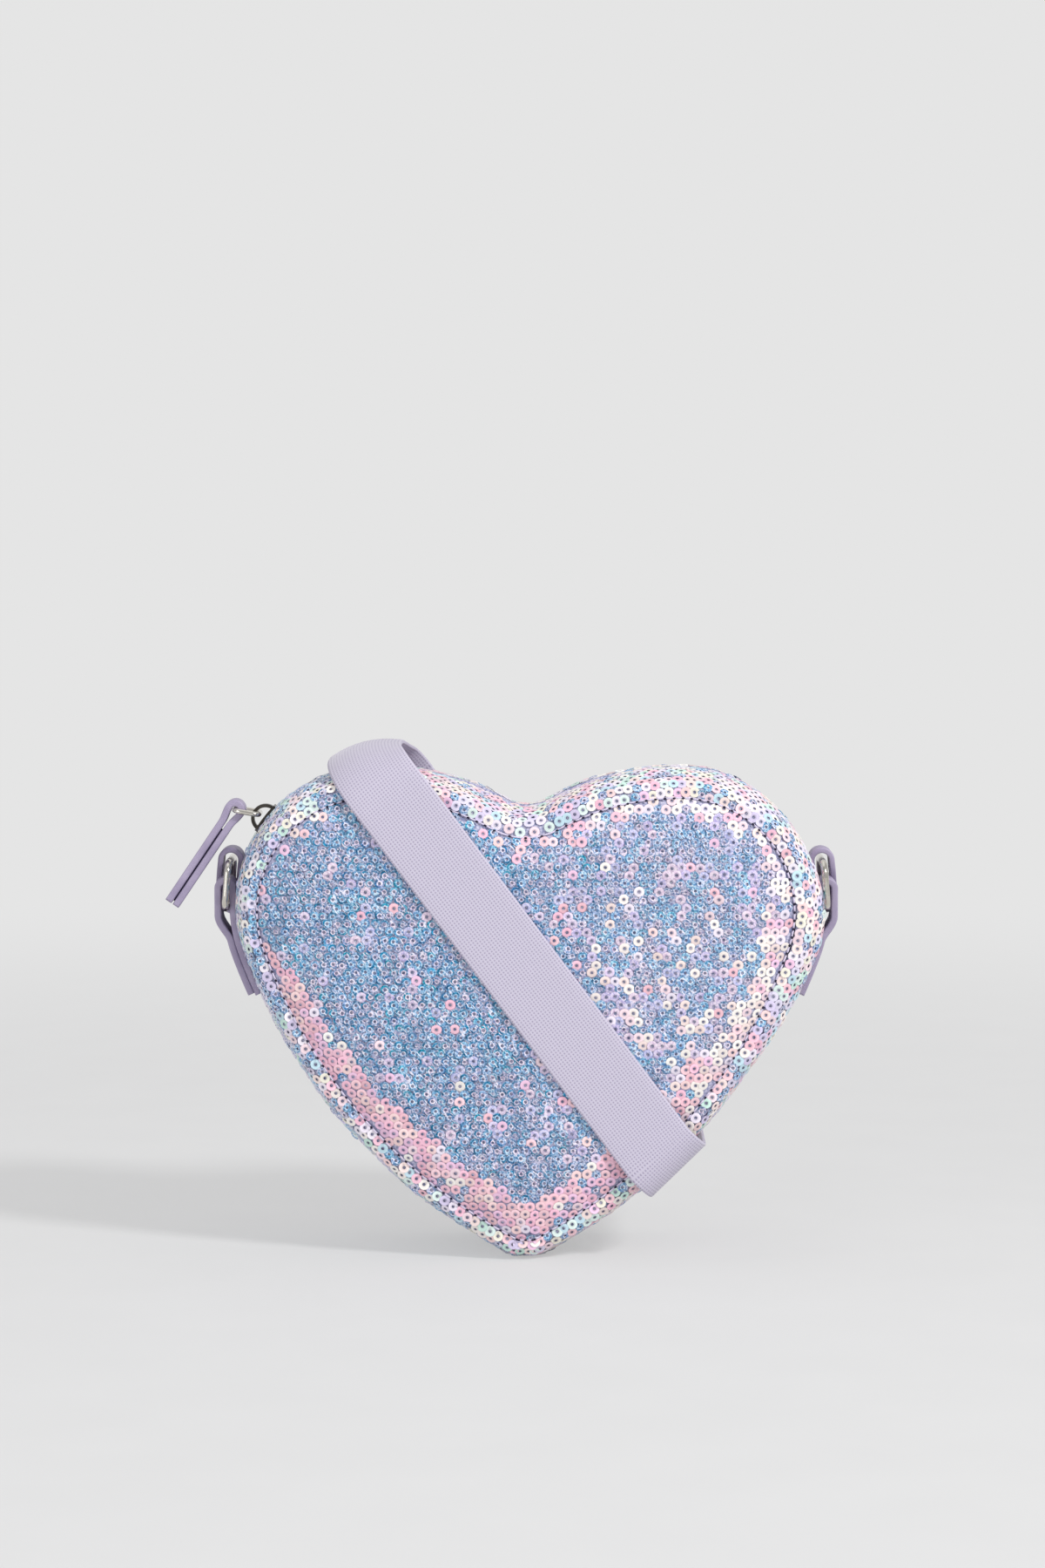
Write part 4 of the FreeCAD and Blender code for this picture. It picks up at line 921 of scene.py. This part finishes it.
def strap_end(name, mirror, node):
    """A strap end: from the lap on the webbing round the bag's back edge, over the ring and back."""
    top = np.array([97.0, 0.0, 127.2])
    layer, eye, width, start_y = 1.8, 2.4, 10.0, 2.6
    radius = eye + layer / 2
    mid_y = start_y + width / 2
    join = np.array([95.0, 31.0, 110.0])
    leg_points, arch_points, tail_points, lap_points = 30, 19, 26, 11
    share = np.linspace(0, 1, leg_points)
    close = ease((share - 0.8) / 0.2)
    bow = 0.9 * np.clip(share / 0.42, 0, 1)
    legs = []
    for sign in (-1, 1):
        x = top[0] + sign * radius + bow
        x = x + (join[0] + sign * layer * 0.52 - x) * close
        y = mid_y + (join[1] - mid_y) * share ** 1.6
        z = top[2] + (join[2] - top[2]) * share
        legs.append(np.stack([x, y, z], -1))
    turn = np.linspace(0, math.pi, arch_points + 2)[1:-1]
    arch = np.stack([
        top[0] + radius * np.cos(turn), np.full(arch_points, mid_y), top[2] + radius * np.sin(turn)], -1)
    lap_lift = 1.2
    lap = np.array([LAP_X, STRAP_Y + STRAP_T / 2 + lap_lift, LAP_Z])
    inward = heading(LAP_ANGLE)
    tail_control = [legs[1][-1], legs[1][-1] + [0, 7.0, -3.4], lap - 9.0 * inward, lap]
    tail_share = np.linspace(0, 1, tail_points)
    tail = bezier(tail_control, tail_share)
    end = lap + inward * np.linspace(0, 14.0, lap_points + 1)[1:, None]
    path = np.concatenate([end[::-1], tail[::-1], legs[1][::-1][1:], arch, legs[0]])
    leg_turn = 0.5 * ease((share - 0.5) / 0.5)
    tail_turn = 0.5 + 0.5 * ease(tail_share / 0.6)
    turned = np.concatenate([
        np.ones(lap_points), tail_turn[::-1], leg_turn[::-1][1:], np.zeros(arch_points), leg_turn])[:, None]
    across = STRAIGHT_BACK * (1 - turned) + heading(LAP_ANGLE - 90.0) * turned
    widening = ease((tail_share - 0.3) / 0.7)[::-1]
    spread = np.concatenate([np.ones(lap_points), widening, np.zeros(len(path) - lap_points - tail_points)])
    widths = width + (STRAP_W - width) * spread
    path = path * [mirror, 1, 1]
    across = across * [mirror, 1, 1]
    obj = strip(name, path, across, widths, layer, STRIP)
    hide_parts(node)
    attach(obj, "bag")


def finish_cad(node, material):
    """Give a CAD piece its finish and smooth shading."""
    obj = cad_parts[node]
    obj.data.materials.clear()
    obj.data.materials.append(material)
    obj.data.polygons.foreach_set("use_smooth", np.full(len(obj.data.polygons), True))


# Studio


def paper_material():
    """Pale studio paper: a faint fibre, fading to an even glow away from the object so that no edge shows."""
    material, tree, shader = new_material("pale studio paper")
    place = add_node(tree, "ShaderNodeTexCoord", {})
    fibre = add_node(tree, "ShaderNodeTexNoise", {"Vector": place.outputs["Object"], "Scale": 1 / (40 * MM)})
    tint = add_node(tree, "ShaderNodeValToRGB", {"Fac": fibre.outputs["Fac"]}, stops=[
        (0.3, "D7D7D7"), (0.7, "DADADA")])
    connect(tree, shader, {"Base Color": tint.outputs["Color"], "Roughness": 0.9})
    far = add_node(tree, "ShaderNodeVectorMath", {0: place.outputs["Object"]}, operation="LENGTH")
    fade = add_node(tree, "ShaderNodeMapRange", {
        "Value": far.outputs["Value"], "From Min": 0.3, "From Max": 1.1, "To Min": 0.55},
        interpolation_type="SMOOTHSTEP")
    rays = add_node(tree, "ShaderNodeLightPath", {})
    seen = rays.outputs["Is Camera Ray"]
    for name in ("Is Glossy Ray", "Is Transmission Ray"):
        seen = add_node(tree, "ShaderNodeMath", {0: seen, 1: rays.outputs[name]}, operation="MAXIMUM").outputs[0]
    share = add_node(tree, "ShaderNodeMath", {0: seen, 1: fade.outputs["Result"]}, operation="MULTIPLY")
    glow = add_node(tree, "ShaderNodeEmission", {"Color": linear("E5E5E5"), "Strength": 1.0})
    blend = add_node(tree, "ShaderNodeMixShader", {0: share.outputs[0], 1: shader.outputs[0], 2: glow.outputs[0]})
    connect(tree, tree.nodes["Material Output"], {"Surface": blend.outputs[0]})
    return material


def studio_floor():
    """A floor that runs level under the object, curves up behind it as a quarter circle and stands."""
    front, bend, radius, top, half_width = -2600.0, 1200.0, 1400.0, 4200.0, 3000.0
    turn = np.linspace(0, math.pi / 2, 49)
    run = np.concatenate([np.linspace(front, bend - 100, 12), bend + radius * np.sin(turn), [bend + radius]])
    rise = np.concatenate([np.zeros(12), radius - radius * np.cos(turn), [top]])
    width = np.array([-half_width, half_width])
    points = np.stack(np.broadcast_arrays(width[None], run[:, None], rise[:, None]), -1)
    floor = add_object("floor", points, [grid_faces(len(run), 2)[:, ::-1]], paper_material())


def to_track(direction):
    """Euler angles that point an object's -Z along a direction, with Y up."""
    return Vector(direction).to_track_quat("-Z", "Y").to_euler()


def area_light(name, place, aim, size, power):
    """A round soft light of a size in millimetres, aimed at a point."""
    light = bpy.data.lights.new(name, "AREA")
    light.shape = "DISK"
    light.size = size * MM
    light.energy = power
    obj = bpy.data.objects.new(name, light)
    bpy.context.scene.collection.objects.link(obj)
    obj.location = np.array(place) * MM
    obj.rotation_euler = to_track(np.array(aim, float) - np.array(place, float))


def studio_lights():
    """A small key light from the right, broad fill and top lights, and an even pale room."""
    area_light("key", (1300, -1250, 1600), (0, 0, 90), 420, 37)
    area_light("fill", (-1100, -1400, 500), (0, 0, 90), 1300, 8)
    area_light("top", (-200, 300, 1800), (0, 0, 60), 1600, 3)
    world = bpy.data.worlds.new("studio")
    bpy.context.scene.world = world
    world.use_nodes = True
    connect(world.node_tree, world.node_tree.nodes["Background"], {"Color": linear("F2F2F4"), "Strength": 0.56})


def camera():
    """The photograph's view: nearly level, from far off."""
    lens = bpy.data.cameras.new("photo_view")
    lens.lens = FOCAL
    lens.sensor_fit = "VERTICAL"
    lens.sensor_height = SENSOR
    obj = bpy.data.objects.new("photo_view", lens)
    bpy.context.scene.collection.objects.link(obj)
    place = np.array([CAMERA_X, -DISTANCE, CAMERA_Z])
    obj.location = place * MM
    obj.rotation_euler = to_track(np.array([AIM_X, 0, AIM_Z]) - place)
    bpy.context.scene.camera = obj


rng = np.random.default_rng(SEED)
panel_skin("front_panel", -1, ["front_panel", "front_foam", "front_lining"])
panel_skin("back_panel", 1, ["back_panel", "back_foam", "back_lining"])
panel_sequins("front_sequins", -1, rng)
panel_sequins("back_sequins", 1, rng)
shares = np.linspace(0, 1, 4001)
slot_share = float(np.interp(-ZIP_SLOT, band_profile(shares)[1], shares))
band_skin("lower_side_band", ZIP_REACH, LOOP - ZIP_REACH, 0.0, 1.0, ["lower_gusset", "gusset_lining"], "ends")
band_skin("front_zip_band", -ZIP_REACH, ZIP_REACH, 0.0, slot_share, ["zip_gusset_front"], "last side")
band_skin("back_zip_band", -ZIP_REACH, ZIP_REACH, 1 - slot_share, 1.0, ["zip_gusset_back"], "first side")
# Sequins stop short of the seams and of the zip by these shares of the band
by_seam, by_zip = 0.005, 0.012
band_sequins("lower_band_sequins", ZIP_REACH, LOOP - ZIP_REACH, by_seam, 1 - by_seam, rng)
band_sequins("front_zip_band_sequins", -ZIP_REACH, ZIP_REACH, by_seam, slot_share - by_zip, rng)
band_sequins("back_zip_band_sequins", -ZIP_REACH, ZIP_REACH, 1 - slot_share + by_zip, 1 - by_seam, rng)
zip_tape("front_zip_tape", -1, "zip_tape_front")
zip_tape("back_zip_tape", 1, "zip_tape_back")
seam_hole_shade("front_seam_hole_shade", -1)
seam_hole_shade("back_seam_hole_shade", 1)
seam_thread("front_seam_thread", -1)
seam_thread("back_seam_thread", 1)
webbing_strap()
puller_strip()
ring_tab("right_ring_tab", 1, "ring_tab_right")
ring_tab("left_ring_tab", -1, "ring_tab_left")
strap_end("right_strap_end", 1, "strap_end_right")
strap_end("left_strap_end", -1, "strap_end_left")
for node in ("d_ring_left", "d_ring_right", "pull_loop"):
    finish_cad(node, NICKEL)
for node in ("slider_body", "zip_top_stops", "zip_bottom_stop"):
    finish_cad(node, GUNMETAL)
for node in ("zip_teeth_front", "zip_teeth_back"):
    finish_cad(node, TEETH)
studio_floor()
studio_lights()
camera()
bpy.context.scene.view_settings.view_transform = "Standard"
